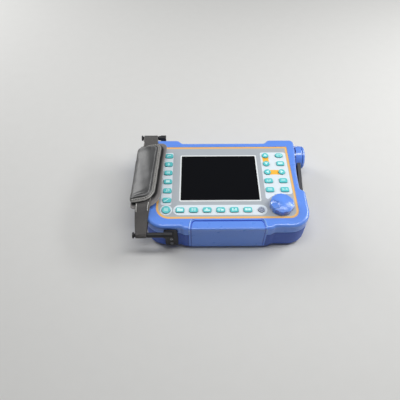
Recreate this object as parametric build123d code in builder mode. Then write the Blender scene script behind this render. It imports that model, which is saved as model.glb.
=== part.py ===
from build123d import *
import math
import os

# Ultrasonic flaw detector, lying on its back. X runs to the right of the screen, Y towards its top and Z out
# of the screen. The origin is on the resting plane, under the middle of the housing. Lengths are millimetres.

# Housing outline in plan
shoulder_half_width = 114.0
waist_depth = 5.0
bulge_reach = 2.0
bottom_edge = 84.0
top_edge = 84.0
recess_depth = 7.0
recess_half_width = 66.0
recess_slope = 6.0
block_inset = 56.5
block_proud = 3.5
block_slope = 6.0
bulge_top = -21.0
bulge_slope = 3.0
waist_top = 14.0
shoulder_bottom = 64.0
corner_radius = 28.0
shoulder_radius = 8.0
bulge_radius = 6.5
waist_radius = 4.0
flare_radius = 200.0
soft_radius = 7.0

# Housing heights and walls
foot_height = 2.0
depth = 48.4
parting_height = 34.0
gasket_thickness = 1.0
gasket_inset = 0.8
gasket_width = 1.8
wall = 3.0
deck_thickness = 3.0
rim_round = 4.5

# Front panel: its margins inside the housing
panel_side_margin = 13.5
panel_top_margin = 16.6
panel_bottom_margin = 13.7
panel_top_radius = 1.5
panel_left_radius = 20.0
panel_right_radius = 14.0
panel_gap = 0.15
overlay_thickness = 1.0
overlay_sink = 0.4

# Window: the fields of panel left round it, and the display behind it
left_field = 32.5
right_field = 50.5
upper_field = 17.9
lower_field = 29.8
window_radius = 2.0
window_thickness = 2.2
window_ledge = 3.0
window_gap = 0.1
display_border = 4.0
display_thickness = 7.2
display_ear_inset = 8.0
display_ear_width = 9.0
display_ear_length = 5.4
display_ear_thickness = 2.0

# Keys
key_width = 12.0
key_height = 8.6
key_radius = 2.4
arrow_key_radius = 5.0
round_key_radius = 6.2
power_key_radius = 4.6
key_proud = 1.5
key_crown = 0.6
key_gap = 0.3
key_flange = 1.1
key_flange_thickness = 1.0
key_play = 0.05
key_travel = 0.8

# Where the keys stand round the display
left_key_gap = 6.4
left_key_inset = 2.0
left_key_count = 6
round_key_side = 0.5
round_key_rise = 0.4
bottom_key_gap = 0.5
bottom_key_inset = 1.7
power_key_inset = 2.0
bottom_key_count = 6
right_key_gap = 3.2
right_key_inset = 1.6
right_key_space = 9.6
right_key_pitch = 17.0
right_key_rows = 5

# Keypad mat and board
board_thickness = 1.6
mat_thickness = 1.2
dome_height = 0.6
dome_radius = 3.2
board_top_margin = 6.9
board_bottom_margin = 3.3
board_gap = 0.6
keypad_drop = 4.5
keypad_post_radius = 3.0
keypad_post_inset = 4.0

# Control knob and encoder
knob_shift = 1.8
knob_drop = 9.6
knob_radius = 16.7
knob_height = 10.4
knob_lift = 0.8
knob_lobes = 9
knob_scallop_radius = 8.0
knob_scallop_depth = 1.0
knob_wall = 2.6
knob_roof = 7.2
knob_dome = 2.0
knob_edge = 1.6
knob_boss_radius = 5.2
dimple_radius = 11.0
dimple_depth = 2.4
dimple_offset = 11.4
dimple_angle = 190.0
shaft_radius = 3.0
shaft_gap = 0.05
shaft_flat = 0.8
shaft_foot = 1.8
shaft_foot_radius = 4.4
shaft_foot_thickness = 1.0
shaft_grip = 5.0
shaft_roof = 2.7
bush_radius = 3.5
bush_height = 3.4
nut_across = 10.0
nut_thickness = 2.0
nut_gap = 0.02
nut_space = 2.0
encoder_width = 12.4
encoder_length = 13.2

# Battery cover and pack
cover_top_gap = 3.1
cover_side_margin = 5.1
cover_narrowing = 2.9
cover_proud = 0.5
cover_thickness = 2.5
cover_gap = 0.35
cover_fold_round = 2.2
cover_corner = 5.0
cover_screw_inset = 8.0
cover_post_radius = 4.0
cover_post_sink = 0.6
cover_rib_x = 24.0
cover_rib_width = 3.0
cover_hook_x = 32.0
cover_hook_width = 12.0
cover_hook_reach = 3.0
cover_hook_thickness = 1.6
cover_hook_gap = 0.1
pack_side_margin = 9.5
pack_front_space = 5.0
pack_board_gap = 3.5
pack_round = 3.0
pack_gap = 1.0
bay_wall = 2.5
bay_end_gap = 0.5

# Main board and the shield on it
main_board_post_gap = 1.6
main_board_step = 5.0
main_board_top_gap = 11.0
standoff_inset = 16.0
shield_x = -36.0
shield_y = 22.0
shield_width = 64.0
shield_length = 44.0
shield_height = 7.0
shield_gap = 1.2
shield_radius = 2.0
shield_wall = 0.6

# Tilt stand, hubs and pivots
hinge_inset = 19.0
hinge_drop = 7.0
side_boss_radius = 16.5
side_boss_proud = 0.5
washer_thickness = 1.1
washer_gap = 0.2
hub_radius = 19.0
hub_wall = 2.2
hub_cover = 2.5
hub_round = 1.5
arm_thickness = 5.5
arm_gap = 0.1
arm_round = 1.5
eye_radius = 12.5
bar_y = -11.5
bar_z = 8.0
bar_radius = 5.0
groove_clearance = 1.0
groove_swing = 3.5
cap_groove = 0.6
cap_spigot_radius = 15.5
cap_thickness = 3.9
cap_inset = 0.4
cap_round = 3.2
pivot_radius = 4.0
pivot_gap = 0.05
pivot_thread_radius = 3.0
pivot_head_radius = 7.0
pivot_head = 3.5
pivot_play = 0.2
pivot_head_gap = 0.5
pivot_key_across = 5.0
pivot_key = 2.0
pivot_boss_radius = 6.0
pivot_boss_gap = 2.0
pivot_end_gap = 1.0

# Screws, posts and feet
screw_radius = 1.5
screw_head_radius = 2.8
screw_head = 2.4
cover_screw_head = 1.6
small_screw_radius = 1.1
small_screw_head_radius = 2.1
small_screw_head = 1.3
screw_bite = 7.0
small_screw_bite = 3.4
screw_end_gap = 1.0
screw_gap = 0.1
thread_gap = 0.02
post_radius = 4.2
upper_post_inset = 26.0
upper_post_gap = 2.5
middle_post_y = 6.0
middle_post_sink = 1.0
lower_post_inset = 26.0
lower_post_gap = 6.5
foot_radius = 8.0
foot_sink = 1.5
foot_chamfer = 0.8
foot_side_inset = 24.0
foot_end_inset = 20.0

# Sockets in the top recess
socket_z = 20.0
left_probe_x = -42.0
right_probe_x = -14.0
charger_socket_x = 16.0
data_socket_x = 43.0
barrel_radius = 5.5
barrel_bore = 4.05
barrel_length = 6.5
bore_depth = 9.5
socket_flange_radius = 7.4
socket_flange = 2.0
socket_stem_radius = 5.5
socket_stem = 9.0
socket_hole_gap = 0.1
socket_nut_across = 14.0
socket_nut = 2.5
insulator_radius = 3.2
insulator_length = 4.0
contact_hole_radius = 2.0
contact_radius = 0.8
contact_collar_radius = 1.4
contact_collar = 0.8
contact_tail = 4.0
charger_bore = 2.8
charger_pin_radius = 1.0
charger_depth = 8.0
data_width = 14.4
data_height = 7.2
data_mouth_width = 12.0
data_mouth_height = 4.8
data_tongue_width = 10.0
data_tongue_height = 1.2
data_depth = 8.0
data_flange_border = 3.0
small_flange = 1.5

# Hand strap
strap_side = 7.3
strap_y = 6.0
strap_lift = 7.6
strap_tilt = 14.0
strap_turn = 1.5
pad_width = 41.5
pad_length = 115.0
pad_edge = 4.5
pad_crown = 6.5
pad_radius = 13.0
pad_corner_radius = 20.0
pad_taper = 4.0
lining_thickness = 1.6
lining_shift = 4.0
lining_border = 3.0
lining_end_gap = 0.5
webbing_width = 23.5
webbing_thickness = 2.0
webbing_neck = 16.0
upper_webbing_shift = 0.7
lower_webbing_shift = 2.7
upper_bar_drop = 3.4
lower_bar_drop = 8.4
loop_gap = 0.4

# Strap lugs
lug_bar_reach = 7.5
lug_bar_radius = 2.5
lug_bar_gap = 0.5
lug_bar_tip = 1.5
lug_arm_radius = 3.6
lug_flange_radius = 4.2
lug_flange = 2.0
lug_plate = 3.0
lug_plate_drop = 6.4
lug_plate_height = 36.0
lug_hook_drop = 1.0
lug_hook_height = 13.0
lug_hook_radius = 4.5
lug_low_screw = 6.0
lug_screw_pitch = 11.0
upper_lug_inset = 22.0
upper_lug_width = 26.0
upper_hook_side = 5.0
upper_hook_width = 8.0
lower_lug_inset = 37.5
lower_lug_width = 18.0
lower_hook_side = 3.5
lower_hook_width = 12.0

# Plan sizes that follow from those above
waist_half_width = shoulder_half_width - waist_depth
bulge_half_width = shoulder_half_width + bulge_reach
block_half_width = bulge_half_width - block_inset
waist_bottom = bulge_top + bulge_slope
recess_edge = top_edge - recess_depth
block_reach = bottom_edge + block_proud
panel_half_width = shoulder_half_width - panel_side_margin
panel_top = top_edge - panel_top_margin
panel_bottom = panel_bottom_margin - bottom_edge
window_left = left_field - panel_half_width
window_right = panel_half_width - right_field
window_top = panel_top - upper_field
window_bottom = panel_bottom + lower_field
window_x = (window_left + window_right) / 2
window_y = (window_bottom + window_top) / 2
window_width = window_right - window_left
window_height = window_top - window_bottom
display_width = window_width + 2 * display_border
display_height = window_height + 2 * display_border
display_low = window_y - display_height / 2 - display_ear_length

# Heights that follow
back_z = foot_height
floor_z = back_z + wall
rim_z = back_z + depth
overlay_top_z = rim_z - overlay_sink
overlay_z = overlay_top_z - overlay_thickness
deck_z = overlay_z - deck_thickness
bezel_z = parting_height + gasket_thickness / 2
case_rim_z = parting_height - gasket_thickness / 2
display_back_z = deck_z - display_thickness
board_z = deck_z - keypad_drop - board_thickness
mat_z = board_z + board_thickness
main_board_z = display_back_z - shield_gap - shield_height - board_thickness
pack_thickness = main_board_z - pack_board_gap - floor_z
key_top_z = overlay_top_z + key_proud
key_flange_z = deck_z - key_play
key_plunger_z = mat_z + mat_thickness + dome_height + key_travel + key_play
knob_z = overlay_top_z + knob_lift
knob_top_z = knob_z + knob_height

# Every key: its name, its shape and its place on the panel
left_key_x = window_x - display_width / 2 - left_key_gap - key_flange - key_width / 2
left_key_top = window_top - left_key_inset
left_key_pitch = (window_height - 2 * left_key_inset) / (left_key_count - 1)
bottom_key_x = window_left + bottom_key_inset
bottom_key_y = display_low - bottom_key_gap - key_flange - key_height / 2
power_key_x = window_right - power_key_inset
bottom_key_pitch = (power_key_x - bottom_key_x) / bottom_key_count
right_key_x = window_x + display_width / 2 + right_key_gap + key_flange + key_width / 2
right_key_column = key_width + right_key_space
right_columns = (right_key_x, right_key_x + right_key_column)
right_rows = [window_top - right_key_inset - right_key_pitch * row for row in range(right_key_rows)]
keys = [
    (f"left_key_{i + 1}", "bar", left_key_x, left_key_top - left_key_pitch * i) for i in range(left_key_count)
]
keys += [("round_key", "round", left_key_x - round_key_side, bottom_key_y + round_key_rise)]
keys += [
    (f"bottom_key_{i + 1}", "bar", bottom_key_x + bottom_key_pitch * i, bottom_key_y)
    for i in range(bottom_key_count)
]
keys += [
    ("power_key", "power", power_key_x, bottom_key_y),
    ("up_key", "arrow", right_columns[0], right_rows[0]),
    ("down_key", "arrow", right_columns[0], right_rows[1]),
    ("left_arrow_key", "arrow", right_columns[0], right_rows[2]),
    ("right_arrow_key", "arrow", right_columns[1], right_rows[2]),
    ("menu_key", "oval", right_columns[1], right_rows[0]),
    ("enter_key", "bar", right_columns[1], right_rows[1]),
    ("gain_key", "bar", right_columns[0], right_rows[3]),
    ("gate_key", "bar", right_columns[1], right_rows[3]),
    ("range_key", "bar", right_columns[0], right_rows[4]),
    ("freeze_key", "bar", right_columns[1], right_rows[4]),
]
knob_x = right_key_x + right_key_column / 2 + knob_shift
knob_y = window_bottom - knob_drop

# Posts, boards, screws and feet
lower_post_x = bulge_half_width - wall - post_radius - lower_post_gap
post_places = [
    (side * x, y)
    for side in (-1, 1)
    for x, y in (
        (shoulder_half_width - upper_post_inset, top_edge - wall - post_radius - upper_post_gap),
        (waist_half_width - wall - post_radius + middle_post_sink, middle_post_y),
        (lower_post_x, lower_post_inset - bottom_edge),
    )
]
board_half_width = lower_post_x - post_radius - board_gap
board_top = panel_top - board_top_margin
board_bottom = panel_bottom + board_bottom_margin
main_board_half_width = lower_post_x - post_radius - main_board_post_gap
main_board_low = board_bottom + main_board_step
main_board_high = recess_edge - main_board_top_gap
standoff_places = [
    (side * (main_board_half_width - standoff_inset), y)
    for side in (-1, 1)
    for y in (main_board_high - standoff_inset, main_board_low + standoff_inset)
]
display_screw_x = display_width / 2 - display_ear_inset
display_screw_y = (display_height + display_ear_length) / 2
display_screws = [
    (window_x + side * display_screw_x, window_y + end * display_screw_y)
    for side in (-1, 1)
    for end in (-1, 1)
]
keypad_screws = [
    (left_key_x, board_top - keypad_post_inset),
    (bottom_key_x - bottom_key_pitch / 2, board_bottom + keypad_post_inset),
    (power_key_x - bottom_key_pitch / 2, board_bottom + keypad_post_inset),
    (right_key_x + right_key_column / 2, board_top - keypad_post_inset),
]
foot_places = [
    (side * (bulge_half_width - foot_side_inset), end * (bottom_edge - foot_end_inset))
    for side in (-1, 1)
    for end in (-1, 1)
]

# Groove of the stand's bar, battery bay and cover
groove_low = bar_y - bar_radius - groove_clearance
groove_high = bar_y + bar_radius + groove_swing
groove_top = bar_z + bar_radius + groove_clearance
cover_top = panel_bottom - cover_top_gap
cover_front = block_reach + cover_proud
cover_front_half_width = block_half_width - cover_side_margin
cover_top_half_width = cover_front_half_width - cover_narrowing
pack_half_width = cover_top_half_width - pack_side_margin
bay_back = groove_low - wall
pack_back = bay_back - pack_gap
pack_front = cover_thickness + pack_front_space - cover_front
cover_screw_x = pack_half_width + pack_gap + bay_wall + cover_post_radius - cover_post_sink
cover_screws = [(side * cover_screw_x, cover_screw_inset - cover_front) for side in (-1, 1)]

# Stand, hubs and pivots, one outside the other
hinge_y = top_edge - hinge_inset
hinge_z = parting_height - hinge_drop
side_boss_face = shoulder_half_width + side_boss_proud
hub_inner_face = side_boss_face + washer_thickness + washer_gap
arm_inner_face = hub_inner_face + hub_wall
arm_outer_face = arm_inner_face + arm_thickness
hub_outer_face = arm_outer_face + hub_cover
head_top = arm_outer_face + pivot_play + pivot_head
pivot_boss = side_boss_face - main_board_half_width - pivot_boss_gap

# Sockets
probe_socket_x = (left_probe_x, right_probe_x)
probe_socket_centres = [(x, socket_z) for x in probe_socket_x]
bore_floor = recess_edge + barrel_length - bore_depth
insulator_floor = bore_floor - insulator_length

# Hand strap and its lugs
strap_x = -waist_half_width - strap_side
strap_plane = Plane(Location((strap_x, strap_y, rim_z + strap_lift), (0, -strap_tilt, -strap_turn)))
webbing_run = pad_length + 2 * (lining_border + lining_end_gap)
upper_webbing_x = strap_x - upper_webbing_shift
lower_webbing_x = strap_x - lower_webbing_shift
upper_bar_z = rim_z - upper_bar_drop
lower_bar_z = rim_z - lower_bar_drop
lug_plate_high = rim_z - lug_plate_drop
lug_plate_low = lug_plate_high - lug_plate_height
lug_hook_high = lug_plate_high - lug_hook_drop
lug_screw_heights = (lug_plate_low + lug_low_screw, lug_plate_low + lug_low_screw + lug_screw_pitch)
upper_lug_x = upper_lug_inset - shoulder_half_width
lower_lug_x = lower_lug_inset - bulge_half_width

os.makedirs("parts", exist_ok=True)


def save(piece, name):
    """Label a finished piece and write it as one STEP file."""
    piece.label = name
    export_step(piece, f"parts/{name}.step")


def draw_housing(inset=0.0):
    """Draw the housing's outline in the open sketch, drawn inwards by inset."""
    right_side = [
        ((block_half_width, -block_reach), soft_radius),
        ((block_half_width + block_slope, -bottom_edge), soft_radius),
        ((bulge_half_width, -bottom_edge), corner_radius),
        ((bulge_half_width, bulge_top), bulge_radius),
        ((waist_half_width, waist_bottom), waist_radius),
        ((waist_half_width, waist_top), flare_radius),
        ((shoulder_half_width, shoulder_bottom), flare_radius),
        ((shoulder_half_width, top_edge), shoulder_radius),
        ((recess_half_width + recess_slope, top_edge), soft_radius),
        ((recess_half_width, recess_edge), soft_radius),
    ]
    left_side = [((-point[0], point[1]), radius) for point, radius in reversed(right_side)]
    corners = right_side + left_side
    with BuildLine() as outline:
        FilletPolyline(*[point for point, _ in corners], radius=[radius for _, radius in corners], close=True)
    make_face(outline.edges())
    if inset:
        offset(amount=-inset)


def draw_panel(grow=0.0):
    """Draw the front overlay's outline, square at its top corners and round at the lower two."""
    with BuildLine() as outline:
        FilletPolyline(
            (panel_half_width + grow, panel_bottom - grow),
            (panel_half_width + grow, panel_top + grow),
            (-panel_half_width - grow, panel_top + grow),
            (-panel_half_width - grow, panel_bottom - grow),
            radius=[panel_right_radius, panel_top_radius, panel_top_radius, panel_left_radius],
            close=True,
        )
    make_face(outline.edges())


def draw_cover(grow=0.0):
    """Draw the battery cover in plan. It widens a little towards the front."""
    with BuildLine() as outline:
        FilletPolyline(
            (cover_front_half_width + grow, -cover_front - wall),
            (cover_top_half_width + grow, cover_top + grow),
            (-cover_top_half_width - grow, cover_top + grow),
            (-cover_front_half_width - grow, -cover_front - wall),
            radius=[0, cover_corner, cover_corner, 0],
            close=True,
        )
    make_face(outline.edges())


def draw_arm():
    """Draw one arm of the tilt stand from the side, from its eye to the cross bar."""
    with Locations((hinge_y, hinge_z)):
        Circle(eye_radius)
    with Locations((bar_y, bar_z)):
        Circle(bar_radius)
    make_hull()


def draw_key(kind, grow=0.0):
    """Draw one key's outline around the current location."""
    if kind == "bar":
        RectangleRounded(key_width + 2 * grow, key_height + 2 * grow, key_radius + grow)
    elif kind == "oval":
        SlotOverall(key_width + 2 * grow, key_height + 2 * grow)
    elif kind == "arrow":
        Circle(arrow_key_radius + grow)
    elif kind == "round":
        Circle(round_key_radius + grow)
    else:
        Circle(power_key_radius + grow)


def draw_board(grow=0.0):
    """Draw the board behind the keys: a U around the display, open at the top."""
    with Locations((0, (board_top + board_bottom) / 2)):
        Rectangle(2 * (board_half_width + grow), board_top - board_bottom + 2 * grow)
    with Locations((window_x, display_low - board_gap - grow)):
        Rectangle(
            display_width + 4 * board_gap - 2 * grow,
            board_top - board_bottom + 2 * grow,
            align=(Align.CENTER, Align.MIN),
            mode=Mode.SUBTRACT,
        )


def draw_pad(border=0.0, shift=0.0):
    """Draw the strap pad's outline: square-set at the left, larger round at the lower right corner."""
    half_width = pad_width / 2 + border
    half_length = pad_length / 2 + border
    with BuildLine() as outline:
        FilletPolyline(
            (shift - half_width, -half_length),
            (shift + half_width - pad_taper, -half_length),
            (shift + half_width, half_length),
            (shift - half_width, half_length),
            radius=[pad_radius / 2, pad_corner_radius, pad_radius, pad_radius],
            close=True,
        )
    make_face(outline.edges())


# Front bezel: a hollow moulding that carries the window, the keys and the knob
with BuildPart() as front_bezel:
    with BuildSketch(Plane.XY.offset(bezel_z)):
        draw_housing()
    extrude(amount=rim_z - bezel_z)
    fillet(front_bezel.faces().sort_by(Axis.Z)[-1].outer_wire().edges(), rim_round)
    with BuildSketch(Plane.XY.offset(bezel_z)):
        draw_housing(wall)
    extrude(amount=deck_z - bezel_z, mode=Mode.SUBTRACT)
    for side in (-1, 1):
        with BuildSketch(Plane.YZ.offset(side * side_boss_face)):
            with Locations((hinge_y, hinge_z)):
                Circle(side_boss_radius)
            with Locations((hinge_y, bezel_z)):
                Rectangle(3 * side_boss_radius, depth, align=(Align.CENTER, Align.MIN), mode=Mode.INTERSECT)
        extrude(amount=-side * wall)
    with BuildSketch(Plane.XY.offset(overlay_z)):
        draw_panel(panel_gap)
    extrude(amount=deck_thickness, mode=Mode.SUBTRACT)
    with BuildSketch(Plane.XY.offset(deck_z)):
        with Locations((window_x, window_y)):
            Rectangle(window_width - 2 * window_ledge, window_height - 2 * window_ledge)
    extrude(amount=deck_thickness, both=True, mode=Mode.SUBTRACT)
    with BuildSketch(Plane.XY.offset(overlay_top_z - window_thickness)):
        with Locations((window_x, window_y)):
            RectangleRounded(window_width + 2 * window_gap, window_height + 2 * window_gap, window_radius)
    extrude(amount=deck_thickness, mode=Mode.SUBTRACT)
    with BuildSketch(Plane.XY.offset(deck_z)):
        for name, kind, x, y in keys:
            with Locations((x, y)):
                draw_key(kind, key_gap)
        with Locations((knob_x, knob_y)):
            Circle(bush_radius + screw_gap)
    extrude(amount=deck_thickness, mode=Mode.SUBTRACT)
    with BuildSketch(Plane.XY.offset(deck_z)):
        with Locations(*keypad_screws):
            Circle(keypad_post_radius)
    extrude(amount=-keypad_drop)
    with BuildSketch(Plane.XY.offset(deck_z)):
        with Locations(*post_places):
            Circle(post_radius)
    extrude(amount=bezel_z - deck_z)
    with BuildSketch(Plane.XY.offset(bezel_z)):
        with Locations(*post_places):
            Circle(screw_radius + thread_gap)
    extrude(amount=screw_bite + screw_end_gap, mode=Mode.SUBTRACT)
    with BuildSketch(Plane.XY.offset(mat_z)):
        with Locations(*keypad_screws):
            Circle(small_screw_radius + thread_gap)
    extrude(amount=keypad_drop, mode=Mode.SUBTRACT)
    with BuildSketch(Plane.XY.offset(deck_z)):
        with Locations(*display_screws):
            Circle(small_screw_radius + thread_gap)
    extrude(amount=small_screw_bite - display_ear_thickness + screw_gap, mode=Mode.SUBTRACT)
    with BuildSketch(Plane.XY.offset(bezel_z)):
        draw_cover(cover_gap)
    extrude(amount=depth, mode=Mode.SUBTRACT)
save(front_bezel.part, "front_bezel")

# Rear case: floor, walls, battery bay, screw posts, side bosses, socket wall and the groove for the stand
with BuildPart() as rear_case:
    with BuildSketch(Plane.XY.offset(back_z)):
        draw_housing()
    extrude(amount=case_rim_z - back_z)
    fillet(rear_case.faces().sort_by(Axis.Z)[0].outer_wire().edges(), rim_round)
    with BuildSketch(Plane.XY.offset(floor_z)):
        draw_housing(wall)
    extrude(amount=case_rim_z, mode=Mode.SUBTRACT)
    for side in (-1, 1):
        with BuildSketch(Plane.YZ.offset(side * side_boss_face)):
            with Locations((hinge_y, hinge_z)):
                Circle(side_boss_radius)
            with Locations((hinge_y, case_rim_z)):
                Rectangle(3 * side_boss_radius, depth, align=(Align.CENTER, Align.MAX), mode=Mode.INTERSECT)
        extrude(amount=-side * wall)
        with BuildSketch(Plane.YZ.offset(side * side_boss_face)):
            with Locations((hinge_y, hinge_z)):
                Circle(pivot_boss_radius)
        extrude(amount=-side * pivot_boss)
        with BuildSketch(Plane.YZ.offset(side * side_boss_face)):
            with Locations((hinge_y, hinge_z)):
                Circle(pivot_thread_radius + thread_gap)
        extrude(amount=-side * pivot_boss, mode=Mode.SUBTRACT)
    # The groove for the cross bar, with a raised rib of floor over it
    with BuildSketch(Plane.XY.offset(back_z)):
        with Locations((0, (groove_low + groove_high) / 2)):
            Rectangle(2 * waist_half_width - wall, groove_high - groove_low + 2 * wall)
    extrude(amount=groove_top + wall - back_z)
    with BuildSketch(Plane.XY.offset(back_z)):
        with Locations((0, (groove_low + groove_high) / 2)):
            Rectangle(3 * waist_half_width, groove_high - groove_low)
    extrude(amount=groove_top - back_z, mode=Mode.SUBTRACT)
    # The battery mouth, its bay walls and the posts for the cover's screws
    with BuildSketch(Plane.XY.offset(back_z)):
        draw_cover(cover_gap)
    extrude(amount=depth, mode=Mode.SUBTRACT)
    bay_x = pack_half_width + pack_gap + bay_wall / 2
    with BuildSketch(Plane.XY.offset(floor_z)):
        with Locations((bay_x, bay_back), (-bay_x, bay_back)):
            Rectangle(bay_wall, bay_back + block_reach - wall - bay_end_gap, align=(Align.CENTER, Align.MAX))
        with Locations(*cover_screws):
            Circle(cover_post_radius)
    extrude(amount=pack_thickness)
    with BuildSketch(Plane.XY.offset(back_z)):
        with Locations(*cover_screws):
            Circle(screw_radius + thread_gap)
    extrude(amount=wall + screw_bite + screw_end_gap, mode=Mode.SUBTRACT)
    # Screw posts at the rim and standoffs under the main board
    with BuildSketch(Plane.XY.offset(floor_z)):
        with Locations(*post_places):
            Circle(post_radius)
    extrude(amount=case_rim_z - floor_z)
    with BuildSketch(Plane.XY.offset(floor_z)):
        with Locations(*standoff_places):
            Circle(post_radius)
    extrude(amount=main_board_z - floor_z)
    with Locations(*[Location((x, y, back_z), (180, 0, 0)) for x, y in post_places]):
        CounterBoreHole(screw_radius + screw_gap, screw_head_radius + screw_gap, screw_head, depth)
    with BuildSketch(Plane.XY.offset(main_board_z)):
        with Locations(*standoff_places):
            Circle(small_screw_radius + thread_gap)
    extrude(amount=-small_screw_bite - screw_end_gap, mode=Mode.SUBTRACT)
    # Seats for the rubber feet
    with BuildSketch(Plane.XY.offset(back_z)):
        with Locations(*foot_places):
            Circle(foot_radius + screw_gap)
    extrude(amount=foot_sink, mode=Mode.SUBTRACT)
    # Holes for the sockets in the recessed top wall
    with BuildSketch(Plane.XZ.offset(-recess_edge)):
        with Locations(*probe_socket_centres):
            Circle(socket_stem_radius + socket_hole_gap)
        with Locations((charger_socket_x, socket_z)):
            Circle(socket_stem_radius + socket_hole_gap)
        with Locations((data_socket_x, socket_z)):
            Rectangle(data_width + 2 * socket_hole_gap, data_height + 2 * socket_hole_gap)
    extrude(amount=wall, mode=Mode.SUBTRACT)
    # Screw holes for the strap lugs
    with BuildSketch(Plane.XZ.offset(-top_edge)):
        with Locations(*[(upper_lug_x, z) for z in lug_screw_heights]):
            Circle(small_screw_radius + thread_gap)
    extrude(amount=wall, mode=Mode.SUBTRACT)
    with BuildSketch(Plane.XZ.offset(bottom_edge)):
        with Locations(*[(lower_lug_x, z) for z in lug_screw_heights]):
            Circle(small_screw_radius + thread_gap)
    extrude(amount=-wall, mode=Mode.SUBTRACT)
save(rear_case.part, "rear_case")

# Gasket between the two shells, open where the battery cover stands
with BuildPart() as case_gasket:
    with BuildSketch(Plane.XY.offset(case_rim_z)):
        draw_housing(gasket_inset)
    extrude(amount=gasket_thickness)
    with BuildSketch(Plane.XY.offset(case_rim_z)):
        draw_housing(gasket_inset + gasket_width)
    extrude(amount=gasket_thickness, mode=Mode.SUBTRACT)
    with BuildSketch(Plane.XY.offset(case_rim_z)):
        draw_cover(cover_gap)
    extrude(amount=gasket_thickness, mode=Mode.SUBTRACT)
save(case_gasket.part, "case_gasket")

# Front overlay: the printed panel, cut out for the window, the keys and the knob's bush
with BuildPart() as front_overlay:
    with BuildSketch(Plane.XY.offset(overlay_z)):
        draw_panel()
        with Locations((window_x, window_y)):
            RectangleRounded(
                window_width + 2 * window_gap,
                window_height + 2 * window_gap,
                window_radius,
                mode=Mode.SUBTRACT,
            )
        for name, kind, x, y in keys:
            with Locations((x, y)):
                with BuildSketch(mode=Mode.PRIVATE) as hole:
                    draw_key(kind, key_gap)
                add(hole.sketch, mode=Mode.SUBTRACT)
        with Locations((knob_x, knob_y)):
            Circle(nut_across / 2 + nut_space, mode=Mode.SUBTRACT)
    extrude(amount=overlay_thickness)
save(front_overlay.part, "front_overlay")

# Window over the display
with BuildPart() as display_window:
    with BuildSketch(Plane.XY.offset(overlay_top_z - window_thickness)):
        with Locations((window_x, window_y)):
            RectangleRounded(window_width, window_height, window_radius)
    extrude(amount=window_thickness)
save(display_window.part, "display_window")

# Display module, screwed to the underside of the deck by its four ears
with BuildPart() as display_module:
    with BuildSketch(Plane.XY.offset(display_back_z)):
        with Locations((window_x, window_y)):
            Rectangle(display_width, display_height)
    extrude(amount=display_thickness)
    with BuildSketch(Plane.XY.offset(deck_z)):
        with Locations(*display_screws):
            Rectangle(display_ear_width, display_ear_length)
    extrude(amount=-display_ear_thickness)
    with BuildSketch(Plane.XY.offset(deck_z)):
        with Locations(*display_screws):
            Circle(small_screw_radius + screw_gap)
    extrude(amount=-display_ear_thickness, mode=Mode.SUBTRACT)
save(display_module.part, "display_module")

# Keys: a crowned cap, a flange that holds it under the deck and a plunger over its dome
for name, kind, x, y in keys:
    with BuildPart() as key:
        with BuildSketch(Plane.XY.offset(key_flange_z)):
            with Locations((x, y)):
                draw_key(kind)
        extrude(amount=key_top_z - key_flange_z)
        fillet(key.faces().sort_by(Axis.Z)[-1].outer_wire().edges(), key_crown)
        with BuildSketch(Plane.XY.offset(key_flange_z)):
            with Locations((x, y)):
                draw_key(kind, key_flange)
        extrude(amount=-key_flange_thickness)
        with BuildSketch(Plane.XY.offset(key_plunger_z)):
            with Locations((x, y)):
                Circle(dome_radius)
        extrude(amount=key_flange_z - key_flange_thickness - key_plunger_z)
    save(key.part, name)

# Rubber mat with a dome under each key, cut out for the posts and the encoder
with BuildPart() as keypad_mat:
    with BuildSketch(Plane.XY.offset(mat_z)):
        draw_board()
        with Locations(*keypad_screws):
            Circle(keypad_post_radius + screw_gap, mode=Mode.SUBTRACT)
        with Locations((knob_x, knob_y)):
            Rectangle(encoder_width + 2 * board_gap, encoder_length + 2 * board_gap, mode=Mode.SUBTRACT)
    extrude(amount=mat_thickness)
    with BuildSketch(Plane.XY.offset(mat_z + mat_thickness)):
        with Locations(*[(x, y) for name, kind, x, y in keys]):
            Circle(dome_radius)
    extrude(amount=dome_height, taper=45)
save(keypad_mat.part, "keypad_mat")

# Circuit board behind the keys
with BuildPart() as keypad_board:
    with BuildSketch(Plane.XY.offset(board_z)):
        draw_board()
        with Locations(*keypad_screws):
            Circle(small_screw_radius + screw_gap, mode=Mode.SUBTRACT)
    extrude(amount=board_thickness)
save(keypad_board.part, "keypad_board")

# Rotary encoder: its body on the board and a threaded bush up through the deck
knob_plane = Plane(origin=(knob_x, knob_y, 0), x_dir=(1, 0, 0), z_dir=(0, -1, 0))
knob_axis = Axis((knob_x, knob_y, 0), (0, 0, 1))
shaft_low_z = mat_z + shaft_foot
bush_top_z = overlay_z + bush_height
shaft_top_z = knob_top_z - shaft_roof
with BuildPart() as encoder_body:
    with BuildSketch(Plane.XY.offset(mat_z)):
        with Locations((knob_x, knob_y)):
            Rectangle(encoder_width, encoder_length)
    extrude(amount=deck_z - mat_z)
    with BuildSketch(Plane.XY.offset(deck_z)):
        with Locations((knob_x, knob_y)):
            Circle(bush_radius)
    extrude(amount=bush_top_z - deck_z)
    with BuildSketch(Plane.XY.offset(shaft_low_z - shaft_gap)):
        with Locations((knob_x, knob_y)):
            Circle(shaft_foot_radius + shaft_gap)
    extrude(amount=shaft_foot_thickness + 2 * shaft_gap, mode=Mode.SUBTRACT)
    with BuildSketch(Plane.XY.offset(shaft_low_z)):
        with Locations((knob_x, knob_y)):
            Circle(shaft_radius + shaft_gap)
    extrude(amount=depth, mode=Mode.SUBTRACT)
save(encoder_body.part, "encoder_body")

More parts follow.
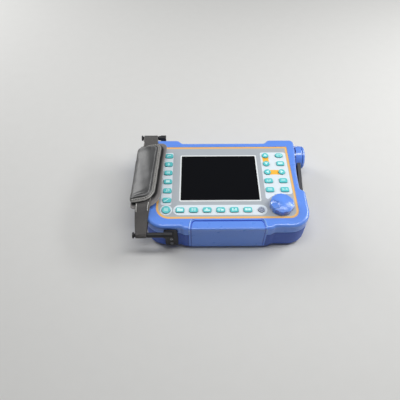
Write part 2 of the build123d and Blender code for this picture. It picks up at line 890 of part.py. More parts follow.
# Hexagon nut that clamps the encoder to the deck
with BuildPart() as encoder_nut:
    with BuildSketch(Plane.XY.offset(overlay_z)):
        with Locations((knob_x, knob_y)):
            RegularPolygon(nut_across / 2, 6, major_radius=False)
            Circle(bush_radius + nut_gap, mode=Mode.SUBTRACT)
    extrude(amount=nut_thickness)
save(encoder_nut.part, "encoder_nut")


def draw_shaft(grow=0.0):
    """Draw the flatted upper end of the encoder's shaft."""
    with Locations((knob_x, knob_y)):
        Circle(shaft_radius + grow)
    with Locations((knob_x, knob_y + shaft_radius - shaft_flat + grow)):
        Rectangle(3 * shaft_radius, shaft_radius, align=(Align.CENTER, Align.MIN), mode=Mode.SUBTRACT)


# Shaft of the encoder, with a foot inside the body and a flat in the knob
with BuildPart() as encoder_shaft:
    with BuildSketch(Plane.XY.offset(shaft_low_z)):
        with Locations((knob_x, knob_y)):
            Circle(shaft_foot_radius)
    extrude(amount=shaft_foot_thickness)
    with BuildSketch(Plane.XY.offset(shaft_low_z)):
        with Locations((knob_x, knob_y)):
            Circle(shaft_radius)
    extrude(amount=shaft_top_z - shaft_grip - shaft_low_z)
    with BuildSketch(Plane.XY.offset(shaft_top_z - shaft_grip)):
        draw_shaft()
    extrude(amount=shaft_grip)
save(encoder_shaft.part, "encoder_shaft")

# Control knob: a lobed, domed cap with a finger dimple, hollow round the boss that grips the shaft
with BuildPart() as control_knob:
    with BuildSketch(knob_plane):
        with BuildLine():
            edge_top = (knob_radius - knob_edge, knob_top_z - knob_dome)
            edge_side = (knob_radius, knob_top_z - knob_dome - knob_edge)
            Polyline(edge_side, (knob_radius, knob_z), (0, knob_z), (0, knob_top_z))
            SagittaArc((0, knob_top_z), edge_top, -knob_dome / 3)
            RadiusArc(edge_top, edge_side, knob_edge)
        make_face()
    revolve(axis=knob_axis)
    with BuildSketch(Plane.XY.offset(knob_z)):
        with Locations((knob_x, knob_y)):
            with PolarLocations(knob_radius + knob_scallop_radius - knob_scallop_depth, knob_lobes):
                Circle(knob_scallop_radius)
    extrude(amount=knob_height, mode=Mode.SUBTRACT)
    with BuildSketch(Plane.XY.offset(knob_z)):
        with Locations((knob_x, knob_y)):
            Circle(knob_radius - knob_wall - knob_scallop_depth)
            Circle(knob_boss_radius, mode=Mode.SUBTRACT)
    extrude(amount=knob_height - knob_roof, mode=Mode.SUBTRACT)
    with BuildSketch(Plane.XY.offset(knob_z)):
        with Locations((knob_x, knob_y)):
            Circle(knob_boss_radius)
    extrude(amount=bush_top_z + 2 * knob_lift - knob_z, mode=Mode.SUBTRACT)
    with BuildSketch(Plane.XY.offset(shaft_top_z - shaft_grip)):
        draw_shaft(thread_gap)
    extrude(amount=shaft_grip + thread_gap, mode=Mode.SUBTRACT)
    dimple_x = knob_x + dimple_offset * math.cos(math.radians(dimple_angle))
    dimple_y = knob_y + dimple_offset * math.sin(math.radians(dimple_angle))
    with Locations((dimple_x, dimple_y, knob_top_z - knob_dome / 2 + dimple_radius - dimple_depth)):
        Sphere(dimple_radius, mode=Mode.SUBTRACT)
save(control_knob.part, "control_knob")

# Main circuit board on its standoffs
with BuildPart() as main_board:
    with BuildSketch(Plane.XY.offset(main_board_z)):
        with Locations((0, (main_board_low + main_board_high) / 2)):
            Rectangle(2 * main_board_half_width, main_board_high - main_board_low)
        with Locations(*standoff_places):
            Circle(small_screw_radius + screw_gap, mode=Mode.SUBTRACT)
    extrude(amount=board_thickness)
save(main_board.part, "main_board")

# Sheet metal can over the pulser on the main board
with BuildPart() as pulser_shield:
    with BuildSketch(Plane.XY.offset(main_board_z + board_thickness)):
        with Locations((shield_x, shield_y)):
            RectangleRounded(shield_width, shield_length, shield_radius)
    extrude(amount=shield_height)
    offset(
        amount=-shield_wall,
        openings=pulser_shield.faces().sort_by(Axis.Z)[0],
        kind=Kind.INTERSECTION,
        mode=Mode.REPLACE,
    )
save(pulser_shield.part, "pulser_shield")

# Battery pack in its bay
with BuildPart() as battery_pack:
    with BuildSketch(Plane.XY.offset(floor_z)):
        with Locations((0, (pack_back + pack_front) / 2)):
            Rectangle(2 * pack_half_width, pack_back - pack_front)
    extrude(amount=pack_thickness)
    fillet(battery_pack.edges().filter_by(Axis.Y), pack_round)
save(battery_pack.part, "battery_pack")


# Battery cover: a C in section, folded over the top, hooked under the deck and screwed at the back
with BuildPart() as battery_cover:
    with BuildSketch(Plane.YZ):
        with BuildLine():
            FilletPolyline(
                (cover_top, rim_z),
                (-cover_front, rim_z),
                (-cover_front, back_z),
                (cover_top, back_z),
                (cover_top, back_z + cover_thickness),
                (-cover_front + cover_thickness, back_z + cover_thickness),
                (-cover_front + cover_thickness, rim_z - cover_thickness),
                (cover_top, rim_z - cover_thickness),
                radius=[0, cover_fold_round, rim_round, 0, 0, rim_round - cover_thickness, 0, 0],
                close=True,
            )
        make_face()
    extrude(amount=block_half_width, both=True)
    with BuildSketch(Plane.XY):
        draw_cover()
    extrude(amount=rim_z + wall, mode=Mode.INTERSECT)
    # Ribs that hold the pack back in its bay
    with BuildSketch(Plane.XY.offset(back_z + cover_thickness)):
        with Locations(*[(side * cover_rib_x, -cover_front + cover_thickness / 2) for side in (-1, 0, 1)]):
            Rectangle(
                cover_rib_width, pack_front + cover_front - cover_thickness / 2 - pack_gap / 2,
                align=(Align.CENTER, Align.MIN),
            )
    extrude(amount=pack_thickness)
    # Hooks that reach under the deck
    hook_root = cover_top - cover_gap - cover_hook_reach
    hook_tip = cover_top + cover_gap + cover_hook_reach
    hook_top = deck_z - cover_hook_gap
    for side in (-1, 1):
        with BuildSketch(Plane.YZ.offset(side * cover_hook_x)):
            with BuildLine():
                Polyline(
                    (hook_root, rim_z - cover_thickness),
                    (cover_top - cover_gap, rim_z - cover_thickness),
                    (cover_top - cover_gap, hook_top),
                    (hook_tip, hook_top),
                    (hook_tip, hook_top - cover_hook_thickness),
                    (hook_root, hook_top - cover_hook_thickness),
                    close=True,
                )
            make_face()
        extrude(amount=cover_hook_width / 2, both=True)
    with Locations(*[Location((x, y, back_z), (180, 0, 0)) for x, y in cover_screws]):
        CounterBoreHole(
            screw_radius + screw_gap, screw_head_radius + screw_gap, cover_screw_head, 2 * cover_thickness
        )
save(battery_cover.part, "battery_cover")

# Screws of the two shells and of the battery cover
with BuildPart() as case_screws:
    for places, head, top in (
        (post_places, screw_head, bezel_z + screw_bite),
        (cover_screws, cover_screw_head, floor_z + screw_bite),
    ):
        with BuildSketch(Plane.XY.offset(back_z)):
            with Locations(*places):
                Circle(screw_head_radius)
        extrude(amount=head)
        with BuildSketch(Plane.XY.offset(back_z)):
            with Locations(*places):
                Circle(screw_radius)
        extrude(amount=top - back_z)
save(case_screws.part, "case_screws")

# Small screws of the display, the two boards and the strap lugs
with BuildPart() as small_screws:
    for places, seat, side in (
        (display_screws, deck_z - display_ear_thickness, 1),
        (keypad_screws, board_z, 1),
        (standoff_places, main_board_z + board_thickness, -1),
    ):
        with BuildSketch(Plane.XY.offset(seat)):
            with Locations(*places):
                Circle(small_screw_head_radius)
        extrude(amount=-side * small_screw_head)
        with BuildSketch(Plane.XY.offset(seat)):
            with Locations(*places):
                Circle(small_screw_radius)
        extrude(amount=side * small_screw_bite)
    for lug_x, seat, side in (
        (upper_lug_x, top_edge + lug_plate, 1),
        (lower_lug_x, -bottom_edge - lug_plate, -1),
    ):
        with BuildSketch(Plane.XZ.offset(-seat)):
            with Locations(*[(lug_x, z) for z in lug_screw_heights]):
                Circle(small_screw_head_radius)
        extrude(amount=-side * small_screw_head)
        with BuildSketch(Plane.XZ.offset(-seat)):
            with Locations(*[(lug_x, z) for z in lug_screw_heights]):
                Circle(small_screw_radius)
        extrude(amount=side * (lug_plate + wall))
save(small_screws.part, "small_screws")

# Tilt stand: two arms and the bar between them
with BuildPart() as tilt_stand:
    for side in (-1, 1):
        with BuildSketch(Plane.YZ.offset(side * arm_inner_face)):
            draw_arm()
        extrude(amount=side * arm_thickness)
    arm_faces = tilt_stand.faces().sort_by(Axis.X)
    fillet(arm_faces[0].edges() + arm_faces[-1].edges(), arm_round)
    with BuildSketch(Plane.YZ):
        with Locations((bar_y, bar_z)):
            Circle(bar_radius)
    extrude(amount=arm_inner_face, both=True)
    with BuildSketch(Plane.YZ):
        with Locations((hinge_y, hinge_z)):
            Circle(pivot_radius + pivot_gap)
    extrude(amount=arm_outer_face, both=True, mode=Mode.SUBTRACT)
save(tilt_stand.part, "tilt_stand")

# Hubs that close over the eyes of the arms
with BuildPart() as stand_hubs:
    for side in (-1, 1):
        with BuildSketch(Plane.YZ.offset(side * hub_inner_face)):
            with Locations((hinge_y, hinge_z)):
                Circle(hub_radius)
        extrude(amount=side * (hub_outer_face - hub_inner_face))
    hub_faces = stand_hubs.faces().sort_by(Axis.X)
    fillet(hub_faces[0].edges() + hub_faces[-1].edges(), hub_round)
    for side in (-1, 1):
        with BuildSketch(Plane.YZ.offset(side * arm_inner_face)):
            draw_arm()
            offset(amount=arm_gap)
        extrude(amount=side * arm_thickness, mode=Mode.SUBTRACT)
        with BuildSketch(Plane.YZ.offset(side * arm_outer_face)):
            with Locations((hinge_y, hinge_z)):
                Circle(pivot_head_radius + pivot_head_gap)
        extrude(amount=side * hub_radius, mode=Mode.SUBTRACT)
    with BuildSketch(Plane.YZ):
        with Locations((hinge_y, hinge_z)):
            Circle(pivot_radius + pivot_gap)
    extrude(amount=hub_outer_face, both=True, mode=Mode.SUBTRACT)
save(stand_hubs.part, "stand_hubs")

# Domed caps over the heads of the pivot bolts
with BuildPart() as hub_caps:
    for side in (-1, 1):
        with BuildSketch(Plane.YZ.offset(side * (hub_outer_face + cap_groove))):
            with Locations((hinge_y, hinge_z)):
                Circle(hub_radius - cap_inset)
        extrude(amount=side * cap_thickness)
    cap_faces = hub_caps.faces().sort_by(Axis.X)
    fillet(cap_faces[0].edges() + cap_faces[-1].edges(), cap_round)
    for side in (-1, 1):
        with BuildSketch(Plane.YZ.offset(side * hub_outer_face)):
            with Locations((hinge_y, hinge_z)):
                Circle(cap_spigot_radius)
        extrude(amount=side * cap_groove)
        with BuildSketch(Plane.YZ.offset(side * hub_outer_face)):
            with Locations((hinge_y, hinge_z)):
                Circle(pivot_head_radius + pivot_head_gap)
        extrude(amount=side * (head_top + pivot_play - hub_outer_face), mode=Mode.SUBTRACT)
save(hub_caps.part, "hub_caps")

# Shoulder bolts that the stand turns on
with BuildPart() as stand_pivot_bolts:
    for side in (-1, 1):
        for face, radius, length in (
            (side_boss_face, pivot_thread_radius, pivot_end_gap - pivot_boss),
            (side_boss_face, pivot_radius, arm_outer_face + pivot_play - side_boss_face),
            (arm_outer_face + pivot_play, pivot_head_radius, pivot_head),
        ):
            with BuildSketch(Plane.YZ.offset(side * face)):
                with Locations((hinge_y, hinge_z)):
                    Circle(radius)
            extrude(amount=side * length)
        with BuildSketch(Plane.YZ.offset(side * head_top)):
            with Locations((hinge_y, hinge_z)):
                RegularPolygon(pivot_key_across / 2, 6, major_radius=False)
        extrude(amount=-side * pivot_key, mode=Mode.SUBTRACT)
save(stand_pivot_bolts.part, "stand_pivot_bolts")

# Washers between the side bosses and the hubs
with BuildPart() as stand_washers:
    for side in (-1, 1):
        with BuildSketch(Plane.YZ.offset(side * side_boss_face)):
            with Locations((hinge_y, hinge_z)):
                Circle(side_boss_radius - screw_gap)
                Circle(pivot_radius + screw_gap, mode=Mode.SUBTRACT)
        extrude(amount=side * washer_thickness)
save(stand_washers.part, "stand_washers")

# Probe sockets: a flange on the wall, a bored barrel for the plug and a threaded stem through the wall
for name, x in zip(("left_probe_socket", "right_probe_socket"), probe_socket_x):
    with BuildPart() as probe_socket:
        for radius, length in (
            (socket_flange_radius, -socket_flange),
            (barrel_radius, -barrel_length),
            (socket_stem_radius, socket_stem),
        ):
            with BuildSketch(Plane.XZ.offset(-recess_edge)):
                with Locations((x, socket_z)):
                    Circle(radius)
            extrude(amount=length)
        for start, radius, length in (
            (recess_edge + barrel_length, barrel_bore, bore_depth),
            (bore_floor, insulator_radius, insulator_length),
            (insulator_floor, contact_hole_radius, socket_stem),
        ):
            with BuildSketch(Plane.XZ.offset(-start)):
                with Locations((x, socket_z)):
                    Circle(radius)
            extrude(amount=length, mode=Mode.SUBTRACT)
    save(probe_socket.part, name)

# Insulators in the barrels, contacts through them and nuts behind the wall
with BuildPart() as probe_socket_insulators:
    with BuildSketch(Plane.XZ.offset(-bore_floor)):
        with Locations(*probe_socket_centres):
            Circle(insulator_radius)
            Circle(contact_radius, mode=Mode.SUBTRACT)
    extrude(amount=insulator_length)
save(probe_socket_insulators.part, "probe_socket_insulators")

with BuildPart() as probe_socket_contacts:
    with BuildSketch(Plane.XZ.offset(-bore_floor)):
        with Locations(*probe_socket_centres):
            Circle(contact_radius)
    extrude(amount=insulator_length + contact_tail)
    with BuildSketch(Plane.XZ.offset(-insulator_floor)):
        with Locations(*probe_socket_centres):
            Circle(contact_collar_radius)
    extrude(amount=contact_collar)
save(probe_socket_contacts.part, "probe_socket_contacts")

with BuildPart() as probe_socket_nuts:
    with BuildSketch(Plane.XZ.offset(wall - recess_edge)):
        with Locations(*probe_socket_centres):
            RegularPolygon(socket_nut_across / 2, 6, major_radius=False)
            Circle(socket_stem_radius + nut_gap, mode=Mode.SUBTRACT)
    extrude(amount=socket_nut)
save(probe_socket_nuts.part, "probe_socket_nuts")

# Charger socket: a round jack with a centre pin
with BuildPart() as charger_socket:
    for radius, length in ((socket_flange_radius, -small_flange), (socket_stem_radius, socket_stem)):
        with BuildSketch(Plane.XZ.offset(-recess_edge)):
            with Locations((charger_socket_x, socket_z)):
                Circle(radius)
        extrude(amount=length)
    with BuildSketch(Plane.XZ.offset(-recess_edge - small_flange)):
        with Locations((charger_socket_x, socket_z)):
            Circle(charger_bore)
            Circle(charger_pin_radius, mode=Mode.SUBTRACT)
    extrude(amount=charger_depth, mode=Mode.SUBTRACT)
    with BuildSketch(Plane.XZ.offset(-recess_edge - small_flange)):
        with Locations((charger_socket_x, socket_z)):
            Circle(charger_pin_radius)
    extrude(amount=small_flange, mode=Mode.SUBTRACT)
save(charger_socket.part, "charger_socket")

# Data socket: a rectangular shell with a tongue
with BuildPart() as data_socket:
    for width, height, length in (
        (data_width + 2 * data_flange_border, data_height + 2 * data_flange_border, -small_flange),
        (data_width, data_height, socket_stem),
    ):
        with BuildSketch(Plane.XZ.offset(-recess_edge)):
            with Locations((data_socket_x, socket_z)):
                Rectangle(width, height)
        extrude(amount=length)
    with BuildSketch(Plane.XZ.offset(-recess_edge - small_flange)):
        with Locations((data_socket_x, socket_z)):
            Rectangle(data_mouth_width, data_mouth_height)
    extrude(amount=data_depth, mode=Mode.SUBTRACT)
    with BuildSketch(Plane.XZ.offset(-recess_edge)):
        with Locations((data_socket_x, socket_z)):
            Rectangle(data_tongue_width, data_tongue_height)
    extrude(amount=socket_stem)
save(data_socket.part, "data_socket")

# Rubber feet under the back
with BuildPart() as rear_feet:
    with BuildSketch():
        with Locations(*foot_places):
            Circle(foot_radius)
    extrude(amount=foot_height + foot_sink)
    chamfer(rear_feet.faces().filter_by(Axis.Z).group_by(Axis.Z)[0].edges(), foot_chamfer)
save(rear_feet.part, "rear_feet")

# Strap lugs: a plate screwed to the wall and a hook with a bar for the webbing
upper_lug = (upper_lug_x, upper_lug_width, upper_hook_side, upper_hook_width)
lower_lug = (lower_lug_x, lower_lug_width, lower_hook_side, lower_hook_width)
for name, end, edge, (plate_x, plate_width, hook_side, hook_width), loop_x, loop_width, height in (
    ("upper_strap_lug", 1, top_edge, upper_lug, upper_webbing_x, webbing_width, upper_bar_z),
    ("lower_strap_lug", -1, bottom_edge, lower_lug, lower_webbing_x, webbing_neck, lower_bar_z),
):
    bar_place = (end * (edge + lug_bar_reach), height)
    hook_x = plate_x - hook_side + hook_width / 2
    arm_end = loop_x + loop_width / 2 + lug_bar_gap
    bar_end = loop_x - loop_width / 2 - lug_bar_tip
    with BuildPart() as strap_lug:
        with BuildSketch(Plane.XZ.offset(-end * edge)):
            with Locations((plate_x, (lug_plate_low + lug_plate_high) / 2)):
                RectangleRounded(plate_width, lug_plate_height, lug_plate)
        extrude(amount=-end * lug_plate)
        with BuildSketch(Plane.YZ.offset(hook_x)):
            with Locations(bar_place):
                Circle(lug_hook_radius)
            with Locations((end * (edge + lug_plate / 2), lug_hook_high - lug_hook_height / 2)):
                Rectangle(lug_plate, lug_hook_height)
            make_hull()
        extrude(amount=-hook_width)
        for start, stop, radius in (
            (hook_x - hook_width, arm_end, lug_arm_radius),
            (arm_end, bar_end, lug_bar_radius),
            (bar_end, bar_end - lug_flange, lug_flange_radius),
        ):
            with BuildSketch(Plane.YZ.offset(start)):
                with Locations(bar_place):
                    Circle(radius)
            extrude(amount=stop - start)
        with BuildSketch(Plane.XZ.offset(-end * edge)):
            with Locations(*[(plate_x, z) for z in lug_screw_heights]):
                Circle(small_screw_radius + screw_gap)
        extrude(amount=-end * lug_plate, mode=Mode.SUBTRACT)
    save(strap_lug.part, name)

# Strap webbing: a flat run between the lining and the pad, with a loop round each lug's bar
loop_inner = lug_bar_radius + loop_gap
loop_outer = loop_inner + webbing_thickness
with BuildPart() as strap_webbing:
    with BuildSketch(strap_plane.offset(-webbing_thickness)):
        Rectangle(webbing_width, webbing_run)
    extrude(amount=webbing_thickness)
    for end, edge, x, width, height in (
        (1, top_edge, upper_webbing_x, webbing_width, upper_bar_z),
        (-1, bottom_edge, lower_webbing_x, webbing_neck, lower_bar_z),
    ):
        bar_line = end * (edge + lug_bar_reach)
        run_end = strap_plane.from_local_coords(Vector(0, end * webbing_run / 2, -webbing_thickness / 2))
        with BuildSketch(Plane(origin=run_end, x_dir=strap_plane.x_dir, z_dir=-strap_plane.y_dir)):
            Rectangle(webbing_width, webbing_thickness)
        over_bar = (x, bar_line, height + loop_inner + webbing_thickness / 2)
        with BuildSketch(Plane(origin=over_bar, x_dir=(1, 0, 0), z_dir=(0, -1, 0))):
            Rectangle(width, webbing_thickness)
        loft(ruled=True)
        with BuildSketch(Plane.YZ.offset(x)):
            with Locations((bar_line, height)):
                Circle(loop_outer)
                Circle(loop_inner, mode=Mode.SUBTRACT)
        extrude(amount=width / 2, both=True)
save(strap_webbing.part, "strap_webbing")

# Soft lining under the strap, a border wider than the pad
with BuildPart() as strap_lining:
    with BuildSketch(strap_plane.offset(-webbing_thickness - lining_thickness)):
        draw_pad(lining_border, lining_shift)
    extrude(amount=lining_thickness)
save(strap_lining.part, "strap_lining")

# Padded cover of the strap, crowned across its width
with BuildPart() as strap_pad:
    with BuildSketch(strap_plane):
        draw_pad()
    extrude(amount=pad_crown)
    with BuildSketch(Plane(origin=strap_plane.origin, x_dir=strap_plane.x_dir, z_dir=-strap_plane.y_dir)):
        with BuildLine():
            left_top = (-pad_width / 2, pad_edge)
            right_top = (pad_width / 2, pad_edge)
            Polyline(left_top, (-pad_width / 2, 0), (pad_width / 2, 0), right_top)
            ThreePointArc(left_top, (0, pad_crown), right_top)
        make_face()
    extrude(amount=pad_length, both=True, mode=Mode.INTERSECT)
save(strap_pad.part, "strap_pad")
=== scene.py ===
# %% [markdown]
# # Dressing a portable ultrasonic flaw detector
# The instrument lies on its back: a blue moulded housing with a printed panel, a dark screen, soft keys and a
# knob, a padded hand strap along its left side and a folding stand behind. Its solids arrive finished and in
# place, in metres. This lesson gives them their finishes and replaces the strap's plain solids with cloth.

# %% Load the solids
import math

import bmesh
import bpy
import numpy as np
from mathutils import Matrix, Vector


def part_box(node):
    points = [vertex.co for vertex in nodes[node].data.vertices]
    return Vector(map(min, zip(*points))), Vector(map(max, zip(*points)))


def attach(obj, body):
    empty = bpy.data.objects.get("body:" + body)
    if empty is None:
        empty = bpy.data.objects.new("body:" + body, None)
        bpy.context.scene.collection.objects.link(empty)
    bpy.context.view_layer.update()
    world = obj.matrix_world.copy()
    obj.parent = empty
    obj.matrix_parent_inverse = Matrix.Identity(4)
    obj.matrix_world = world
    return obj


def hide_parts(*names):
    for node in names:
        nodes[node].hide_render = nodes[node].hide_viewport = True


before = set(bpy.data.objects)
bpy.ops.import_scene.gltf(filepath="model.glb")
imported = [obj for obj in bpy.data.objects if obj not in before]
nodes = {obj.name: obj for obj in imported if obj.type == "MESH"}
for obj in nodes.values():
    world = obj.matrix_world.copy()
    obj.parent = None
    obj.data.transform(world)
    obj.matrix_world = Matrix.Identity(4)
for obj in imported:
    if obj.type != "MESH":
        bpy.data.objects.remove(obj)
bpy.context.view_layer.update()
MM = 0.001

# %% [markdown]
# ## The camera
# The view looks down at the panel from the lower edge, a little left of its middle. A lens of about 35 mm on
# a 36 mm sensor has the same strong perspective: the near edge of the housing is clearly wider than the far
# one. The focal length was worked out in pixels of a picture 400 wide, and the sensor's width turns it into
# millimetres.

# %% Camera
sensor_width = 36.0
picture_width = 400
focal_pixels = 383.9
look_down = 53.06
turn_right = 0.40

scene = bpy.context.scene
camera_data = bpy.data.cameras.new("camera")
camera_data.sensor_width = sensor_width
camera_data.lens = sensor_width * focal_pixels / picture_width
camera_data.clip_start = 0.01
camera = bpy.data.objects.new("camera", camera_data)
camera.location = (-0.0404, -0.3683, 0.4893)
camera.rotation_euler = (math.radians(90 - look_down), 0, math.radians(-turn_right))
scene.collection.objects.link(camera)
scene.camera = camera
scene.view_settings.view_transform = "Standard"
print("lens", round(camera_data.lens, 2), "mm")

# %% [markdown]
# ## Writing shaders as sums
# A printed edge or a moulded grain is a formula of the place on the part. Wiring such formulas by hand takes
# many small nodes, so a `Wire` stands for one socket, and Python's own signs add the Math nodes to it.


# %% Wire
class Wire:
    """One output socket, which Python's operators can work with."""

    def __init__(self, finish, socket):
        self.finish = finish
        self.socket = socket

    def __add__(self, other):
        return self.finish.math("ADD", self, other)

    def __sub__(self, other):
        return self.finish.math("SUBTRACT", self, other)

    def __rsub__(self, other):
        return self.finish.math("SUBTRACT", other, self)

    def __mul__(self, other):
        return self.finish.math("MULTIPLY", self, other)

    def __truediv__(self, other):
        return self.finish.math("DIVIDE", self, other)

    def __gt__(self, other):
        return self.finish.math("GREATER_THAN", self, other)

    def __lt__(self, other):
        return self.finish.math("LESS_THAN", self, other)

    def __abs__(self):
        return self.finish.math("ABSOLUTE", self)

    def __neg__(self):
        return self * -1.0

    __radd__ = __add__
    __rmul__ = __mul__

    def least(self, other):
        return self.finish.math("MINIMUM", self, other)

    def most(self, other):
        return self.finish.math("MAXIMUM", self, other)

    def root(self):
        return self.finish.math("SQRT", self)

    def sine(self):
        return self.finish.math("SINE", self)

    def fraction(self):
        return self.finish.math("FRACT", self)

    def clamped(self):
        return self.finish.node("ShaderNodeClamp", {}, {"Value": self})


# %% Finish
class Finish:
    """A material in the making: nodes go in one by one, and surface() closes it."""

    def __init__(self, name):
        self.material = bpy.data.materials.new(name)
        self.material.use_nodes = True
        self.tree = self.material.node_tree
        self.tree.nodes.clear()

    def node(self, kind, settings, sockets, out=0):
        """Add a node with its settings, and a value or a link for each socket. Gives one of its outputs."""
        made = self.tree.nodes.new(kind)
        for name, value in settings.items():
            setattr(made, name, value)
        for key, value in sockets.items():
            if isinstance(value, Wire):
                self.tree.links.new(value.socket, made.inputs[key])
            else:
                made.inputs[key].default_value = value
        return Wire(self, made.outputs[out]) if made.outputs else made

    def math(self, operation, *values):
        return self.node("ShaderNodeMath", {"operation": operation}, dict(enumerate(values)))

    def mix(self, share, below, above):
        """Colour `above` laid over `below` where share is 1."""
        return self.node("ShaderNodeMix", {"data_type": "RGBA"}, {0: share, 6: below, 7: above}, 2)

    def place(self):
        """The place on the part, as a vector in millimetres."""
        here = self.node("ShaderNodeTexCoord", {}, {}, 3)
        return self.node("ShaderNodeVectorMath", {"operation": "SCALE"}, {0: here, "Scale": 1000.0})

    def split(self, vector):
        """The three numbers of a vector."""
        parts = self.node("ShaderNodeSeparateXYZ", {}, {0: vector}).socket.node.outputs
        return [Wire(self, part) for part in parts]

    def stored(self, name, out=2):
        """A number that was kept at each point of the mesh, or a vector with output 1."""
        return self.node("ShaderNodeAttribute", {"attribute_name": name}, {}, out)

    def noise(self, place, size, detail=2.0, rough=0.5):
        """Soft random values from 0 to 1, with grains about `size` millimetres across."""
        sockets = {"Vector": place, "Scale": 1.0 / size, "Detail": detail, "Roughness": rough}
        return self.node("ShaderNodeTexNoise", {}, sockets)

    def bump(self, height, depth, strength=1.0, under=None):
        """A normal from a height of 0 to 1 that stands for `depth` millimetres."""
        sockets = {"Height": height, "Distance": depth * MM, "Strength": strength}
        if under is not None:
            sockets["Normal"] = under
        return self.node("ShaderNodeBump", {}, sockets)

    def surface(self, sockets):
        shader = self.node("ShaderNodeBsdfPrincipled", {}, sockets)
        self.node("ShaderNodeOutputMaterial", {}, {"Surface": shader})
        return self


def paint(red, green, blue):
    """A colour as a screen shows it, 0 to 255, for a socket that wants linear light."""
    shares = [value / 255 for value in (red, green, blue)]
    return tuple(s / 12.92 if s <= 0.04045 else ((s + 0.055) / 1.055) ** 2.4 for s in shares) + (1.0,)


def darker(colour, share):
    """A colour with only a share of its light."""
    return tuple(share * value for value in colour[:3]) + (1.0,)


def dress(finish, *names):
    """Give solids one finish in place of what they came with."""
    for name in names:
        slots = nodes[name].data.materials
        slots.clear()
        slots.append(finish.material)


print("shader helpers ready")


# %% [markdown]
# ## Shapes as distances
# A printed field with round corners is sharp at any zoom if it is a signed distance: below 0 inside the shape
# and above 0 outside. Two shapes join with the smaller distance, and a cut is the larger of one and minus the
# other. Where a shape belongs to a solid, its numbers are read from the frame.


# %% Distance shapes
def round_box(x, y, low_x, high_x, low_y, high_y, radius):
    """Distance to a rectangle with round corners, in millimetres."""
    half_x, half_y = (high_x - low_x) / 2, (high_y - low_y) / 2
    across = abs(x - (low_x + half_x)) - half_x + radius
    along = abs(y - (low_y + half_y)) - half_y + radius
    outside = across.most(0.0) * across.most(0.0) + along.most(0.0) * along.most(0.0)
    return outside.root() + across.most(along).least(0.0) - radius


def disc(x, y, centre_x, centre_y, radius):
    """Distance to a disc, in millimetres."""
    across, along = x - centre_x, y - centre_y
    return (across * across + along * along).root() - radius


def joined(shapes):
    """Distance to several shapes that are one."""
    whole = shapes[0]
    for shape in shapes[1:]:
        whole = whole.least(shape)
    return whole


def ink(distance, blur=0.15):
    """1 inside a shape and 0 outside it, with an edge as soft as screen printing."""
    return (0.5 - distance / blur).clamped()


def box_of(name):
    """The lowest and highest corners of a solid, in millimetres."""
    low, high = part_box(name)
    return low / MM, high / MM


def middle_of(name):
    """The middle of a solid's box, in millimetres."""
    low, high = box_of(name)
    return (low + high) / 2


def inset_box(x, y, name, gap, radius):
    """Distance to the box of a solid, drawn in by a gap and with round corners."""
    low, high = box_of(name)
    return round_box(x, y, low.x + gap, high.x - gap, low.y + gap, high.y - gap, radius)


print("distance shapes ready")

# %% [markdown]
# ## Blue moulded plastic
# The front bezel, the battery cover, the hubs and the knob are gloss mouldings. Their polish isn't perfect: a
# slight unevenness bends the reflections, faint rubbing changes the gloss in patches, and the colour drifts
# by a shade. Noise at three sizes does that, under a thin clear coat. Its haze sets how wide the highlights
# are, and where one moulding differs, a function of the place works out its coat, its relief or a painted
# shade.


# %% Gloss plastic
# A dark blue for painted shade, laid into the battery cover's step
painted_shade_blue = paint(14, 50, 186)


def gloss_plastic(name, colour, deep, roughness, haze=0.08, coat=None, relief=None, painted_shade=None):
    """Polished plastic under a clear coat. Relief is in millimetres, and coat and painted shade go from 0 to
    1.
    """
    finish = Finish(name)
    place = finish.place()
    x, y, z = finish.split(place)
    drift = finish.noise(place, 38.0, 2.0)
    rub = finish.noise(place, 9.0, 5.0, 0.65)
    peel = finish.noise(place, 1.6, 1.0)
    under = finish.bump(relief(x, y), 1.0) if relief else None
    shade = finish.mix(drift, colour, deep)
    # Painted shade: the colour goes to a dark blue where the given function says
    if painted_shade:
        shade = finish.mix(painted_shade(x, y), shade, painted_shade_blue)
    return finish.surface(
        {
            "Base Color": shade,
            "Roughness": roughness - 0.05 + 0.12 * rub,
            "Specular IOR Level": 0.6,
            "Coat Weight": coat(x, y, z) if coat else 1.0,
            "Coat Roughness": haze,
            "Normal": finish.bump(peel, 0.012, under=under),
        }
    )


print("a gloss plastic has a name, two shades, a roughness and a haze")

# %% [markdown]
# ## Knob
# The real knob is a low dome with a soft lip round the finger dimple, and the solid's face is flatter. A bump
# bends the light as the dome and the lip do, which costs no geometry. Fingers polish the knob at its right
# side and in the dimple, so the coat is strong there and fades out towards the middle.

# %% Knob
knob_x, knob_y = middle_of("encoder_nut").xy
knob_face = 15.1
dimple_x, dimple_y = knob_x - 10.6, knob_y - 2.3
dimple_radius = 7.0
lip_height = 0.6
lip_width = 1.3


def knob_relief(x, y):
    """The face curves down more and more towards its rim, and a lip runs round the dimple."""
    reach = disc(x, y, knob_x, knob_y, 0.0).least(knob_face)
    off_lip = (abs(disc(x, y, dimple_x, dimple_y, dimple_radius)) / lip_width).least(1.0)
    return lip_height * (1.0 - off_lip * off_lip) + reach * (0.31 - 0.0284 * reach)


def knob_coat(x, y, z):
    """1 at the polished right side and in the dimple."""
    right_side = ((x - (knob_x + 2.6)) / 4.0).clamped()
    dimple = (-disc(x, y, dimple_x, dimple_y, dimple_radius + 2.0)).clamped()
    return right_side.most(dimple)


knob_shades = paint(110, 158, 250), paint(100, 148, 242)
knob_blue = gloss_plastic("knob_blue", *knob_shades, 0.22, haze=0.17, coat=knob_coat, relief=knob_relief)
dress(knob_blue, "control_knob")
print("knob turns about", round(knob_x, 1), round(knob_y, 1))
